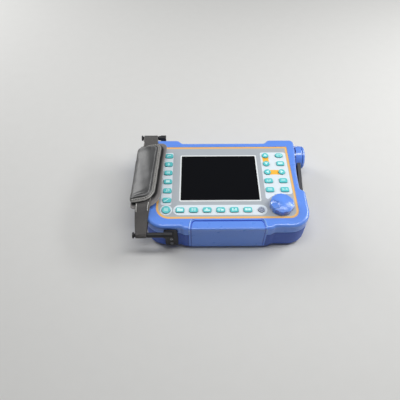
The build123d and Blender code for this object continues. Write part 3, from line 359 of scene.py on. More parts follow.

# %% [markdown]
# ## Bezel, battery cover and hubs
# Hands have dulled the sides of the bezel, and its top and rim keep their polish. The battery cover fits into
# a mouth whose sides spread towards the front, and a narrow step just inside its edge makes the dark line
# that is seen there. The step is sunk by a bump and darkened with a painted shade, more along the top edge
# than down the sides.

# %% Bezel, cover and hubs
rim_foot = 45.0
step_top = -73.4
step_half = 49.5
step_flare = 0.165
step_corner = 5.0
step_width = 1.9
step_depth = 0.5
step_sides = -79.0
far_below = -130.0


def rim_coat(x, y, z):
    """The full coat on the top and the rim, and little of it below."""
    return 0.12 + 0.88 * (z - rim_foot).clamped()


def cover_step(x, y):
    """1 on the step and 0 beside it."""
    spread = abs(x) + step_flare * (y - step_top)
    inside = -round_box(spread, y, -step_half, step_half, far_below, step_top, step_corner)
    return ((inside + 0.1) / 0.3).clamped() * ((step_width - inside) / 0.5).clamped()


def cover_relief(x, y):
    return cover_step(x, y) * -step_depth


# Painted shade in the step, stronger along the top edge than down the sides
def cover_painted_shade(x, y):
    return cover_step(x, y) * (0.55 + 0.35 * ((y - step_sides) / 2.0).clamped())


blues = paint(107, 155, 247), paint(98, 145, 240)
bezel_blue = gloss_plastic("bezel_blue", *blues, 0.28, coat=rim_coat, relief=cover_relief, painted_shade=cover_painted_shade)
hub_blue = gloss_plastic("hub_blue", *blues, 0.2, haze=0.24)
dress(bezel_blue, "front_bezel", "battery_cover")
dress(hub_blue, "stand_hubs", "hub_caps")
print("gloss plastic on 5 solids")

# %% [markdown]
# ## Satin and textured plastic
# The rear case is the bezel's blue painted darker, a painted shade for its sides, with a spark-eroded texture
# which hides scratches. The lugs, the sockets' housings and the parts behind the wall are black with a grain
# about as fine. Fine noise is the texture, and coarse noise, cut off low, leaves a few worn spots.


# %% Textured plastic
def grained_plastic(name, colour, worn, grain, depth, roughness):
    """Plastic with a grain `grain` millimetres across and `depth` deep, and some worn spots."""
    finish = Finish(name)
    place = finish.place()
    fine = finish.noise(place, grain, 3.0, 0.7)
    wear = (finish.noise(place, 14.0, 4.0, 0.6) * 3.0 - 1.4).clamped()
    return finish.surface(
        {
            "Base Color": finish.mix(wear, colour, worn),
            "Roughness": roughness + 0.12 * fine,
            "Normal": finish.bump(fine, depth, 0.8),
        }
    )


# The rear case's two blues are darker than the bezel's: painted shade on the case's sides
shaded_case_blue = grained_plastic("shaded_case_blue", paint(58, 94, 190), paint(66, 102, 198), 0.7, 0.05, 0.42)
black_grain = grained_plastic("black_grain", paint(32, 32, 35), paint(40, 40, 43), 0.6, 0.05, 0.45)
dress(shaded_case_blue, "rear_case")
dress(black_grain, "charger_socket", "data_socket", "encoder_body", "battery_pack")
dress(black_grain, "upper_strap_lug", "lower_strap_lug")
print("textured plastic on 7 solids")

# %% [markdown]
# ## The printed panel
# The panel is one polyester sheet, printed from behind: mid grey, an orange line along its edge, pale fields
# round the keys and two amber bars that join the arrow keys. One formula for each field keeps them sharp, and
# the lower right field is cut back in an arc where the knob turns.

# %% Fields
# A field is low x, high x, low y, high y and corner radius, and the round one is its centre and radius
side_field = (-94.0, -78.8, -46.6, 55.2, 3.0)
bottom_field = (-75.8, 56.4, -64.2, -46.9, 8.6)
right_field = (56.6, 96.4, -28.0, 55.2, 3.5)
right_tail = (56.6, 70.0, -36.5, 10.0, 3.0)
round_field = (-86.0, -55.4, 8.7)
knob_clearance = 21.2
up, down = middle_of("up_key"), middle_of("down_key")
left, right = middle_of("left_arrow_key"), middle_of("right_arrow_key")
upright_bar = (up.x - 4.7, up.x + 4.7, down.y + 0.1, up.y - 0.1, 0.4)
level_bar = (left.x, right.x, left.y - 4.6, left.y + 4.6, 0.4)
orange_inset = 3.3
square_corner, right_corner, left_corner = 1.5, 14.0, 20.0
print("amber bars", [round(edge, 1) for edge in upright_bar], [round(edge, 1) for edge in level_bar])

# %% Printed panel
panel = Finish("panel_print")
place = panel.place()
x, y, _ = panel.split(place)
# The panel's corners differ: nearly square at the top, and round at the lower right and the lower left
lower = y < 0.0
corner = square_corner + lower * (right_corner - square_corner + (left_corner - right_corner) * (x < 0.0))
edge = inset_box(x, y, "front_overlay", 0.0, corner)
right_fields = joined([round_box(x, y, *right_field), round_box(x, y, *right_tail)])
right_fields = right_fields.most(-disc(x, y, knob_x, knob_y, knob_clearance))
fields = [round_box(x, y, *side_field), round_box(x, y, *bottom_field), right_fields]
fields.append(disc(x, y, *round_field))
amber = joined([round_box(x, y, *upright_bar), round_box(x, y, *level_bar)])
speckle = panel.noise(place, 0.5, 3.0, 0.7)
cloudy = panel.noise(place, 30.0, 3.0)
grey = panel.mix(cloudy, paint(168, 175, 182), paint(177, 183, 188))
colour = panel.mix(ink(joined(fields)), grey, paint(222, 232, 239))
colour = panel.mix(ink(amber), colour, paint(250, 188, 66))
colour = panel.mix(ink(-orange_inset - edge), colour, paint(238, 186, 112))
panel.surface(
    {
        "Base Color": colour,
        "Roughness": 0.44 + 0.14 * speckle,
        "Specular IOR Level": 0.4,
        "Normal": panel.bump(speckle, 0.015, 0.7),
    }
)
dress(panel, "front_overlay")
print("panel print has", len(panel.tree.nodes), "nodes")

# %% [markdown]
# ## The window
# The screen is off: a black display under a glossy window, whose back is printed with a white frame. The
# active area is a shade lighter than the black round it. Real windows show a few fine smears, so the
# roughness varies.

# %% Window
frame_width = 2.0
black_margin = 3.4
window = Finish("window_glass")
place = window.place()
x, y, _ = window.split(place)
inner = inset_box(x, y, "display_window", frame_width, 1.2)
active = inset_box(x, y, "display_window", black_margin, 0.4)
smear = window.noise(place, 16.0, 4.0, 0.6)
colour = window.mix(ink(active), paint(9, 9, 11), paint(17, 18, 21))
colour = window.mix(ink(inner), paint(232, 237, 238), colour)
window.surface(
    {
        "Base Color": colour,
        "Roughness": 0.06 + 0.16 * smear,
        "Specular IOR Level": 0.12,
        "Normal": window.bump(smear, 0.02, 0.2),
    }
)
dress(window, "display_window")
display = grained_plastic("display_face", paint(12, 12, 14), paint(16, 16, 18), 1.2, 0.02, 0.3)
dress(display, "display_module")
print("window dressed")

# %% [markdown]
# ## Soft keys
# The keys are silicone rubber: teal, and grey for the power key. Their sides are painted darker than their
# tops, a painted shade. The height tells top from side, so one finish fits every key, and nothing has to be
# unwrapped.


# %% Rubber keys
key_shoulder = box_of("enter_key")[1].z - 0.55


def key_rubber(name, top, shaded_flank):
    """Soft rubber whose sides, below the shoulder, are painted darker than the top, as a painted shade."""
    finish = Finish(name)
    place = finish.place()
    height = finish.split(place)[2]
    face = ((height - key_shoulder) / 0.35).clamped()
    fine = finish.noise(place, 0.35, 2.0)
    touch = finish.noise(place, 5.0, 3.0)
    shade = finish.mix(touch, top, darker(top, 0.9))
    return finish.surface(
        {
            "Base Color": finish.mix(face, shaded_flank, shade),
            "Roughness": 0.46 + 0.1 * touch,
            "Normal": finish.bump(fine, 0.01, 0.6),
        }
    )


# Each key's second colour is the painted shade of its sides
teal = key_rubber("teal_rubber", paint(96, 208, 212), paint(52, 164, 170))
power_grey = key_rubber("grey_rubber", paint(160, 170, 190), paint(100, 110, 132))
key_names = [name for name in nodes if "_key" in name]
dress(teal, *key_names)
dress(power_grey, "power_key")
print(len(key_names), "keys dressed")

# %% [markdown]
# ## Legends on the keys
# Each key carries a small pale mark: arrows, bars, a square, a ring with a handle. They are thick ink, a
# twentieth of a millimetre high, so they are thin raised meshes on the key's top and go down with it when it
# is pressed. Flat outlines are drawn point by point in a bmesh and extruded.

# %% Ink and drawing helpers
legend = Finish("legend_ink")
place = legend.place()
worn = (legend.noise(place, 2.2, 3.0) * 2.5 - 1.2).clamped()
legend.surface(
    {
        "Base Color": legend.mix(worn, paint(216, 252, 252), paint(196, 244, 246)),
        "Roughness": 0.4 + 0.1 * worn,
        "Normal": legend.bump(worn, 0.01, 0.5),
    }
)


def bar(cx, cy, width, height, turn=0.0):
    """A rectangle, turned by some degrees."""
    spin = Matrix.Rotation(math.radians(turn), 2)
    corners = [(-width, -height), (width, -height), (width, height), (-width, height)]
    return [Vector((cx, cy)) + spin @ Vector(corner) / 2 for corner in corners]


def triangle(cx, cy, size, turn=0.0):
    """A triangle that points up, turned by some degrees."""
    spin = Matrix.Rotation(math.radians(turn), 2)
    return [Vector((cx, cy)) + spin @ Vector(c) * size for c in ((-0.95, -0.6), (0.95, -0.6), (0.0, 0.9))]


def arc(cx, cy, radius, width, start=0.0, stop=360.0):
    """A ring, or part of one, as short four-sided steps."""
    steps = max(6, round((stop - start) / 15))
    low, high = radius - width / 2, radius + width / 2
    found = []
    for i in range(steps):
        a, b = (math.radians(start + (stop - start) * k / steps) for k in (i, i + 1))
        ends = [(low, a), (high, a), (high, b), (low, b)]
        found.append([Vector((cx + r * math.cos(t), cy + r * math.sin(t))) for r, t in ends])
    return found


marks = {
    "left_key_1": [bar(0, 0.6, 4.6, 1.0), bar(-1.8, -0.6, 1.0, 2.0)],
    "left_key_2": [triangle(0, 0.3, 1.6), bar(0, -1.6, 3.2, 0.7)],
    "left_key_3": [bar(x, 0, 0.8, 3.6) for x in (-1.5, 0, 1.5)],
    "left_key_4": [bar(0, 0, 4.4, 3.4)],
    "left_key_5": [*arc(0.6, 0.5, 1.5, 0.8), bar(-1.2, -1.4, 2.4, 0.8, 45)],
    "left_key_6": [bar(0, 0, 4.6, 0.9, 42), bar(-2.3, -1.6, 1.8, 0.8), bar(2.3, 1.6, 1.8, 0.8)],
    "round_key": [bar(0, y, 5.0, 0.8) for y in (1.8, 0, -1.8)],
    "bottom_key_1": [bar(0, -0.3, 6.8, 3.4), bar(-1.9, 1.8, 3.0, 0.8)],
    "bottom_key_2": [
        *[bar(x, 0, 0.8, 4.4) for x in (-1.7, 1.7)],
        *[bar(0, y, 2.0, 0.6) for y in (1.0, -0.6)],
    ],
    "bottom_key_3": [bar(0, -1.1, 6.4, 1.8), triangle(-0.4, 1.0, 1.7)],
    "bottom_key_4": [*arc(-2.0, 0, 1.1, 0.8), bar(1.8, -0.6, 3.0, 2.4), bar(0.2, 1.6, 1.4, 0.7)],
    "bottom_key_5": [bar(-1.7, 0, 1.4, 3.4), bar(1.9, 0, 1.4, 3.4), triangle(0.1, -0.8, 0.9)],
    "bottom_key_6": [bar(-1.7, 0, 2.9, 3.0), bar(1.7, 0, 2.9, 3.0)],
    "power_key": [*arc(0, -0.2, 2.0, 0.6, -230, 50), bar(0, 1.5, 0.6, 2.2)],
    "up_key": [triangle(0, 0, 2.4)],
    "down_key": [triangle(0, 0, 2.4, 180)],
    "left_arrow_key": [triangle(0, 0, 2.4, 90)],
    "right_arrow_key": [triangle(0, 0, 2.4, -90)],
    "menu_key": [*arc(-1.2, 0, 1.5, 0.8, 40, 300), *arc(1.6, 0, 1.5, 0.8, -120, 140)],
    "enter_key": [bar(0, 0, 5.8, 2.8)],
    "gain_key": [bar(-1.7, 0.2, 2.2, 1.0), bar(1.7, 0.2, 2.2, 1.0), bar(0, -1.4, 4.4, 0.6)],
    "gate_key": [bar(0, 0.2, 5.0, 1.2)],
    "range_key": [bar(0, 0.9, 5.0, 0.7), bar(0, -0.9, 5.0, 0.7)],
    "freeze_key": [bar(-2.4, 0, 0.7, 3.0), bar(2.4, 0, 0.7, 3.0), bar(0, 0, 4.0, 0.6)],
}
print(len(marks), "marks drawn")


# %% Making a piece
def piece_of(name, mesh, finish, body, smooth=True):
    """Turn a mesh into a piece of the part that rides on a body."""
    mesh.name = name
    mesh.materials.clear()
    mesh.materials.append(finish.material)
    for polygon in mesh.polygons:
        polygon.use_smooth = smooth
    piece = bpy.data.objects.new(name, mesh)
    scene.collection.objects.link(piece)
    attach(piece, body)
    return piece


def piece_from(name, bm, finish, body, smooth=True):
    """Turn a bmesh, with its faces turned outwards, into a piece."""
    bmesh.ops.recalc_face_normals(bm, faces=bm.faces[:])
    mesh = bpy.data.meshes.new(name)
    bm.to_mesh(mesh)
    bm.free()
    return piece_of(name, mesh, finish, body, smooth)


# %% Legends
mark_scale = 1.22
mark_top = 0.05
mark_thickness = 0.09
power_legend = key_rubber("power_legend_ink", paint(86, 92, 112), paint(86, 92, 112))
for name, shapes in marks.items():
    low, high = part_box(name)
    middle = (low + high) / 2
    bm = bmesh.new()
    for shape in shapes:
        spots = [middle + point.to_3d() * mark_scale * MM for point in shape]
        bm.faces.new([bm.verts.new((spot.x, spot.y, high.z + mark_top * MM)) for spot in spots])
    grown = bmesh.ops.extrude_face_region(bm, geom=bm.faces[:])["geom"]
    lower_points = [part for part in grown if isinstance(part, bmesh.types.BMVert)]
    bmesh.ops.translate(bm, vec=(0, 0, -mark_thickness * MM), verts=lower_points)
    colour = power_legend if name == "power_key" else legend
    piece_from("legend_" + name, bm, colour, name, smooth=False)
print("legends ride on their keys")

# %% [markdown]
# ## Metal
# The screws are plated steel with a cross recess. The recess isn't cut: it is a dark cross of painted shade
# where two thin bars overlap, sunk by a bump. The heads under the case sit at eight known places that mirror
# left to right, so four crosses of the distance from the middle line serve them all.


# %% Metal
def metal(name, colour, roughness, brushed=False, cut=None):
    """Plated metal with fine lines, brushed along x when asked. A cut says where it is dark and deep."""
    finish = Finish(name)
    place = finish.place()
    stretch = (0.15, 1.0, 1.0) if brushed else (1.0, 1.0, 1.0)
    drawn = finish.node("ShaderNodeVectorMath", {"operation": "MULTIPLY"}, {0: place, 1: stretch})
    fine = finish.noise(drawn, 0.25, 3.0, 0.6)
    if cut:
        share, dark, relief = cut(*finish.split(place))
    else:
        share, dark, relief = finish.noise(place, 4.0, 3.0), darker(colour, 0.75), (fine, 0.01, 0.5)
    return finish.surface(
        {
            "Base Color": finish.mix(share, colour, dark),
            "Metallic": 1.0,
            "Roughness": roughness + 0.15 * fine,
            "Normal": finish.bump(*relief),
        }
    )


steel = metal("plain_steel", paint(188, 190, 196), 0.26, brushed=True)
dress(steel, "stand_pivot_bolts", "stand_washers", "encoder_nut", "encoder_shaft", "pulser_shield")
brass = metal("contact_brass", paint(226, 186, 96), 0.22)
dress(brass, "probe_socket_contacts")
print("plain metal on 6 solids")


# %% Screw heads
def crosses(x, y, centres, reach, width):
    """Distance to crosses of two bars, one at each centre."""
    shapes = []
    for centre_x, centre_y in centres:
        across, along = abs(x - centre_x), abs(y - centre_y)
        shapes.append((across - reach).most(along - width))
        shapes.append((across - width).most(along - reach))
    return joined(shapes)


def recess(distance, blur, depth):
    """A cut for a shape: its share of painted shade, the shade's colour and its relief."""
    sunk = ink(distance, blur)
    return sunk, paint(22, 22, 24), (1.0 - sunk, depth, 1.0)


def case_crosses(x, y, z):
    centres = [(88.0, 74.3), (102.8, 6.0), (102.3, -58.0), (48.9, -80.0)]
    return recess(crosses(abs(x), y, centres, 1.7, 0.34), 0.25, 0.9)


def lug_crosses(x, y, z):
    centres = [(centre_x, centre_z) for centre_x in (-92.0, -78.5) for centre_z in (14.0, 25.0)]
    return recess(crosses(x, z, centres, 1.3, 0.27), 0.2, 0.7)


dress(metal("case_steel", paint(186, 188, 194), 0.28, cut=case_crosses), "case_screws")
dress(metal("lug_steel", paint(180, 182, 188), 0.3, cut=lug_crosses), "small_screws")
print("screw heads have their crosses")

# %% [markdown]
# ## Probe sockets
# The two sockets at the top are nickel plated and threaded outside. The thread is a wave along the barrel's
# axis, with its valleys painted darker as a painted shade, and it stops at the flange, where the distance
# from the wall says so.

# %% Nickel thread
thread_pitch = 0.8
thread_start, thread_end = 79.2, 83.1


def socket_thread(x, y, z):
    """A cut for a thread that runs along y, with painted shade in its valleys."""
    turns = ((y * (math.tau / thread_pitch)).sine() + 1.0) / 2.0
    barrel = ((y - thread_start) / 0.2).clamped() * ((thread_end - y) / 0.2).clamped()
    return barrel * (1.0 - turns), paint(120, 118, 114), (turns * barrel, 0.22, 0.9)


nickel = metal("nickel", paint(206, 204, 198), 0.2, cut=socket_thread)
dress(nickel, "left_probe_socket", "right_probe_socket", "probe_socket_nuts")
insulator = grained_plastic("white_insulator", paint(228, 228, 222), paint(216, 215, 206), 0.8, 0.01, 0.35)
dress(insulator, "probe_socket_insulators")
print("sockets dressed")

# %% [markdown]
# ## Stand, rubber and boards
# The stand is metal under a dark powder coat, which has a fine orange-peel skin. Feet, gasket and key mat are
# matt rubber with a bloom of dust. The boards are green lacquer over copper tracks that run square to the
# edges.

# %% Powder coat and rubber
powder = Finish("powder_coat")
place = powder.place()
skin = powder.noise(place, 0.9, 2.0, 0.6)
scuff = (powder.noise(place, 6.0, 5.0, 0.7) * 4.0 - 2.4).clamped()
powder.surface(
    {
        "Base Color": powder.mix(scuff, paint(50, 51, 56), paint(72, 73, 78)),
        "Roughness": 0.46 + 0.12 * skin,
        "Normal": powder.bump(skin, 0.06, 0.8),
    }
)
dress(powder, "tilt_stand")

rubber = Finish("matt_rubber")
place = rubber.place()
pores = rubber.noise(place, 0.4, 2.0)
dust = (rubber.noise(place, 5.0, 5.0, 0.7) * 2.0 - 0.7).clamped()
rubber.surface(
    {
        "Base Color": rubber.mix(dust, paint(30, 30, 31), paint(52, 51, 50)),
        "Roughness": 0.78 + 0.14 * dust,
        "Normal": rubber.bump(pores, 0.02, 0.8),
    }
)
dress(rubber, "rear_feet", "case_gasket", "keypad_mat")
print("stand and rubber dressed")

# %% Boards
lacquer = Finish("green_lacquer")
place = lacquer.place()
cells = lacquer.node("ShaderNodeTexVoronoi", {"distance": "CHEBYCHEV"}, {"Vector": place, "Scale": 0.22})
tracks = ((abs((cells * 14.0).fraction() - 0.5) - 0.36) * 12.0).clamped()
lacquer.surface(
    {
        "Base Color": lacquer.mix(tracks, paint(22, 92, 50), paint(58, 132, 76)),
        "Roughness": 0.3 + 0.1 * tracks,
        "Normal": lacquer.bump(tracks, 0.03, 0.6),
    }
)
dress(lacquer, "keypad_board", "main_board")
print("boards dressed")

# %% [markdown]
# ## Where the strap lies
# The hand strap runs beside the housing, tilted so that its outer edge is lower. Everything on it is made in
# the strap's own directions: u across, v along and w out of its face. One matrix carries that into the part's
# frame.

# %% Strap frame
strap_middle = Vector((-116.3, 6.0, 58.0))
strap_tilt = -14.0
strap_turn = -1.5
STRAP = (
    Matrix.Translation(strap_middle * MM)
    @ Matrix.Rotation(math.radians(strap_tilt), 4, "Y")
    @ Matrix.Rotation(math.radians(strap_turn), 4, "Z")
)
strap_up = (STRAP.to_3x3() @ Vector((0, 0, 1))).normalized()


def on_strap(u, v, w):
    """A point of the strap's own frame, in millimetres, as a place in the part's frame."""
    return STRAP @ Vector((u * MM, v * MM, w * MM))


def in_strap(places):
    """Places in the part's frame as rows of u, v and w, in millimetres."""
    back = np.array(STRAP.inverted())
    return (np.array(places) @ back[:3, :3].T + back[:3, 3]) / MM


def rounded_outline(corners, step=2.0):
    """A closed outline through corners given as (u, v, radius), as evenly spaced points."""
    count = len(corners)
    loop = []
    for i, (u, v, radius) in enumerate(corners):
        here = Vector((u, v))
        before = (Vector(corners[i - 1][:2]) - here).normalized()
        after = (Vector(corners[(i + 1) % count][:2]) - here).normalized()
        half = before.angle(after) / 2
        centre = here + (before + after).normalized() * radius / math.sin(half)
        start = here + before * radius / math.tan(half) - centre
        stop = here + after * radius / math.tan(half) - centre
        turn = start.angle_signed(stop)
        steps = max(2, round(abs(turn) * radius / step))
        for k in range(steps + 1):
            loop.append(centre + Matrix.Rotation(-turn * k / steps, 2) @ start)
    even = []
    for i, point in enumerate(loop):
        following = loop[(i + 1) % len(loop)]
        run = (following - point).length
        if run < 0.01:
            continue
        pieces = max(1, round(run / step))
        even += [point.lerp(following, k / pieces) for k in range(pieces)]
    return even


low, high = box_of("strap_pad")
print("the pad's solid spans", [round(b - a, 1) for a, b in zip(low, high)], "mm")

# %% [markdown]
# ## The padded hand strap
# The pad is soft filling under coated fabric, crowned across, with a welted seam that runs down its right
# side and round the lower corner. A plain swept solid looks moulded, so the pad is blown up instead: a closed
# shell, remeshed evenly, swells under cloth pressure while its underside stays pinned, and no point may move
# far.


# %% Shell between an outline and its middle line
def bridge(bm, rows, capped=True):
    """Faces between neighbouring closed rows of points, and over both ends when capped."""
    for a, b in zip(rows, rows[1:]):
        for n in range(len(a)):
            k = (n + 1) % len(a)
            bm.faces.new((a[n], a[k], b[k], b[n]))
    if capped:
        bm.faces.new(rows[0][::-1])
        bm.faces.new(rows[-1])


def nearest_on_spine(point, low, high):
    """The point of a short middle line nearest to a point of the outline."""
    run = high - low
    share = min(max((point - low).dot(run) / run.length_squared, 0.0), 1.0)
    return low + run * share


def shell(outline, spine, rings):
    """A bmesh of rings that step from the outline to the spine: (share of the way, height in mm)."""
    bm = bmesh.new()
    low, high = (Vector(end) for end in spine)
    rows = []
    for share, height in rings:
        row = []
        for point in outline:
            flat = point.lerp(nearest_on_spine(point, low, high), share)
            row.append(bm.verts.new(on_strap(flat.x, flat.y, height)))
        rows.append(row)
    bridge(bm, rows, capped=False)
    bm.faces.new(rows[0])
    bm.faces.new(rows[-1][::-1])
    bmesh.ops.recalc_face_normals(bm, faces=bm.faces[:])
    return bm


pad_outline = rounded_outline([(-20.7, -53.6, 6.5), (16.7, -53.0, 20), (20.6, 57.4, 13), (-20.7, 57.4, 13)])
pad_spine = (-1.5, -37), (0, 43)
pad_rings = [(0.95, 0.2), (0.75, 0.2), (0.5, 0.2), (0.25, 0.2), (0.05, 0.25)]
pad_rings += [(0.0, 1.2), (0.0, 2.4), (0.05, 3.4), (0.13, 4.1)]
pad_rings += [(0.25, 4.7), (0.4, 5.2), (0.6, 5.6), (0.8, 5.8), (0.95, 5.9)]
pad_start = shell(pad_outline, pad_spine, pad_rings)
print("pad outline has", len(pad_outline), "points, the shell", len(pad_start.faces), "faces")

# %% Swelling
pressure = 4.0
cloth_frames = 20


def evaluated(thing):
    """A copy of an object's mesh with its modifiers applied."""
    depsgraph = bpy.context.evaluated_depsgraph_get()
    return bpy.data.meshes.new_from_object(thing.evaluated_get(depsgraph))


def swell(bm, voxel, cap, pinned_below):
    """Inflate a shell by cloth pressure. Points below a height are pinned, and none moves more than cap."""
    mesh = bpy.data.meshes.new("swell")
    bm.to_mesh(mesh)
    bm.free()
    bag = bpy.data.objects.new("swell", mesh)
    scene.collection.objects.link(bag)
    even = bag.modifiers.new("even", "REMESH")
    even.mode = "VOXEL"
    even.voxel_size = voxel * MM
    bpy.context.view_layer.update()
    remeshed = evaluated(bag)
    bag.modifiers.clear()
    bag.data = remeshed
    rest = np.array([v.co for v in remeshed.vertices])
    pinned = np.flatnonzero(in_strap(rest)[:, 2] < pinned_below)
    held = bag.vertex_groups.new(name="held")
    held.add(pinned.tolist(), 1.0, "REPLACE")
    cloth = bag.modifiers.new("cloth", "CLOTH")
    cloth.settings.use_pressure = True
    cloth.settings.uniform_pressure_force = pressure
    cloth.settings.vertex_group_mass = "held"
    cloth.settings.effector_weights.gravity = 0.0
    cloth.settings.quality = 6
    for step in range(1, cloth_frames + 1):
        scene.frame_set(step)
    moved = np.array([v.co for v in evaluated(bag).vertices]) - rest
    length = np.linalg.norm(moved, axis=1, keepdims=True)
    moved *= np.minimum(1.0, cap * MM / np.maximum(length, 1e-9))
    remeshed.vertices.foreach_set("co", (rest + moved).astype(np.float32).ravel())
    print("swelled by up to", round(float(length.max()) / MM, 1), "mm, kept to", cap, "mm")
    bag.modifiers.clear()
    scene.frame_set(1)
    smooth = bag.modifiers.new("smooth", "SMOOTH")
    smooth.iterations = 2
    finer = bag.modifiers.new("finer", "SUBSURF")
    finer.levels = 1
    bpy.context.view_layer.update()
    final = evaluated(bag)
    bpy.data.objects.remove(bag)
    return final


pad_mesh = swell(pad_start, voxel=1.7, cap=1.5, pinned_below=0.9)
print("pad mesh has", len(pad_mesh.vertices), "points")

# %% [markdown]
# ## Seam, border and wrinkles
# Remeshing would erase a seam, so it comes after the swelling. The seam is a line on the face. Points near it
# sink, those just inside rise a little as a welt, and those outside lie lower as a flat border. Two shallow
# folds cross the lower end, where the cover is turned under. Two numbers are kept at each point for the
# finish: how much it belongs to the border, and how much to the flank.

# %% Seam
seam_corners = [(-46, -48.0, 8), (12.3, -47.4, 13), (15.6, 52.5, 9), (-46, 52.5, 8)]
seam_line = np.array([tuple(point) for point in rounded_outline(seam_corners, step=1.0)])


def signed_gap(points, line):
    """How far points in (u, v) lie outside a closed line, in millimetres: negative inside."""
    gaps = np.empty(len(points))
    block = 2000
    for i in range(0, len(points), block):
        apart = points[i : i + block, None, :] - line[None]
        gaps[i : i + block] = np.sqrt((apart**2).sum(-1)).min(1)
    u, v = points.T
    inside = np.zeros(len(points), bool)
    for (au, av), (bu, bv) in zip(line, np.roll(line, -1, axis=0)):
        passed = (av > v) != (bv > v)
        if passed.any():
            inside ^= passed & (u < (bu - au) * (v - av) / (bv - av + 1e-12) + au)
    return np.where(inside, -gaps, gaps)


def ridge(distance, width):
    """1 on a line and softly down to 0 beside it."""
    return np.exp(-((distance / width) ** 2))


def store(mesh, name, values):
    """Keep a number at each point of a mesh, for its finish to read."""
    mesh.attributes.new(name, "FLOAT", "POINT").data.foreach_set("value", values.astype(np.float32))


# %% Relief of the pad
face_start, face_fade = 1.8, 1.5
seam_depth, seam_width = 0.9, 0.9
welt_height, welt_width, welt_inside = 0.45, 1.1, 2.0
border_depth, border_slope = 0.9, 2.5
local = in_strap([v.co for v in pad_mesh.vertices])
u, v, height = local.T.copy()
gap = signed_gap(local[:, :2], seam_line)
face = np.clip((height - face_start) / face_fade, 0.0, 1.0)
groove = -seam_depth * ridge(gap, seam_width)
welt = welt_height * ridge(gap + welt_inside, welt_width)
border = -border_depth * np.clip(gap / border_slope, 0.0, 1.0)


def fold(at, slope, depth, width):
    """A shallow fold that starts at the left side and fades out towards the middle."""
    across = v + at + 0.005 * (u + 4.0) ** 2 - slope * u
    return -depth * np.clip((4.0 - u) / 9.0, 0.0, 1.0) * ridge(across, width)


folds = fold(at=42.4, slope=0.10, depth=0.55, width=1.0) + fold(at=38.4, slope=0.13, depth=0.35, width=1.2)
# The cloth is slack: long soft waves a fifth of a millimetre high, and shorter ones half as high
slack = 0.18 * np.sin(v / 7.3 + u / 5.1) * np.sin(u / 6.7 - v / 19.0 + 0.8) + 0.10 * np.sin(v / 3.1 - u / 8.0)
local[:, 2] += face * (groove + welt + border + folds + slack)
from_strap = np.array(STRAP)
shaped = (local * MM) @ from_strap[:3, :3].T + from_strap[:3, 3]
pad_mesh.vertices.foreach_set("co", shaped.astype(np.float32).ravel())
store(pad_mesh, "border", face * np.clip((gap + 0.8) / 1.2, 0.0, 1.0))
store(pad_mesh, "shaded_flank", 1.0 - np.clip((height - 1.4) / 1.2, 0.0, 1.0))
pad_mesh.update()
print("the seam's groove has", int((np.abs(gap) < seam_width).sum()), "points")

# %% [markdown]
# ## Coated fabric
# The cover is soft black coated cloth: pebbled grain about half a millimetre across, with worn lighter spots
# on the crown. Cells give the pebbles, and their borders become the creases between them. The border outside
# the seam is painted lighter, for the sheen that it has, and the flank darker, for the shadow that it lies
# in.

# %% Coated fabric
leather = Finish("coated_fabric")
place = leather.place()
bent = leather.noise(place, 1.4, 2.0)
wander = leather.node("ShaderNodeVectorMath", {"operation": "SCALE"}, {0: bent, "Scale": 1.2})
wander = leather.node("ShaderNodeVectorMath", {"operation": "ADD"}, {0: place, 1: wander})
pebble = leather.node("ShaderNodeTexVoronoi", {"feature": "F1"}, {"Vector": wander, "Scale": 1.5})
crease = (pebble * 1.7).clamped()
rubbed = leather.noise(place, 17.0, 4.0, 0.6)
base = leather.mix(rubbed, paint(50, 51, 52), paint(70, 71, 72))
base = leather.mix(leather.stored("border") * (0.75 + 0.25 * rubbed), base, paint(188, 186, 182))
base = leather.mix(leather.stored("shaded_flank"), base, paint(20, 20, 21))
leather.surface(
    {
        "Base Color": leather.mix(crease * 0.5, base, paint(30, 30, 32)),
        "Roughness": 0.36 + 0.14 * crease,
        "Coat Weight": 0.55,
        "Coat Roughness": 0.3,
        "Normal": leather.bump(1.0 - crease, 0.04, 0.6),
    }
)
pad = piece_of("hand_pad", pad_mesh, leather, "housing")
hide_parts("strap_pad")
print("pad replaces its solid")

# %% [markdown]
# ## Stitches
# A seam is read by its stitches. Each is a short swollen thread that dips at both ends, set on the real
# surface by a ray from above. One bmesh holds a whole row, and one wave that leans across the thread gives
# its twist.


# %% Thread
def ribbed(name, dark, light, roughness, lean=1.0, turns=9.0, depth=0.05, strength=0.8):
    """Twisted thread or ribbed tape, from a wave that leans across x and y."""
    finish = Finish(name)
    x, y, _ = finish.split(finish.place())
    rib = ((x * lean + y) * turns).sine() * 0.5 + 0.5
    return finish.surface(
        {
            "Base Color": finish.mix(rib, dark, light),
            "Roughness": roughness + 0.1 * rib,
            "Normal": finish.bump(rib, depth, strength),
        }
    )


def ring(bm, centre, side, up, radius, sides):
    """A closed row of points round a centre."""
    turns = [math.tau * n / sides for n in range(sides)]
    return [bm.verts.new(centre + (side * math.cos(t) + up * math.sin(t)) * radius) for t in turns]


thread = ribbed("grey_thread", paint(40, 41, 43), paint(62, 63, 65), 0.6)
print("thread ready")

# %% Stitches
stitch_profile = (0.75, 1.0, 1.1, 1.0, 0.75)
stitch_sides = 6
ray_height = 20


def walk(line, pitch):
    """Places and directions every `pitch` millimetres along a line of (u, v) points."""
    found, spare = [], 0.0
    for a, b in zip(line, line[1:]):
        run = (b - a).length
        while spare <= run:
            found.append((a.lerp(b, spare / run), (b - a).normalized()))
            spare += pitch
        spare -= run
    return found


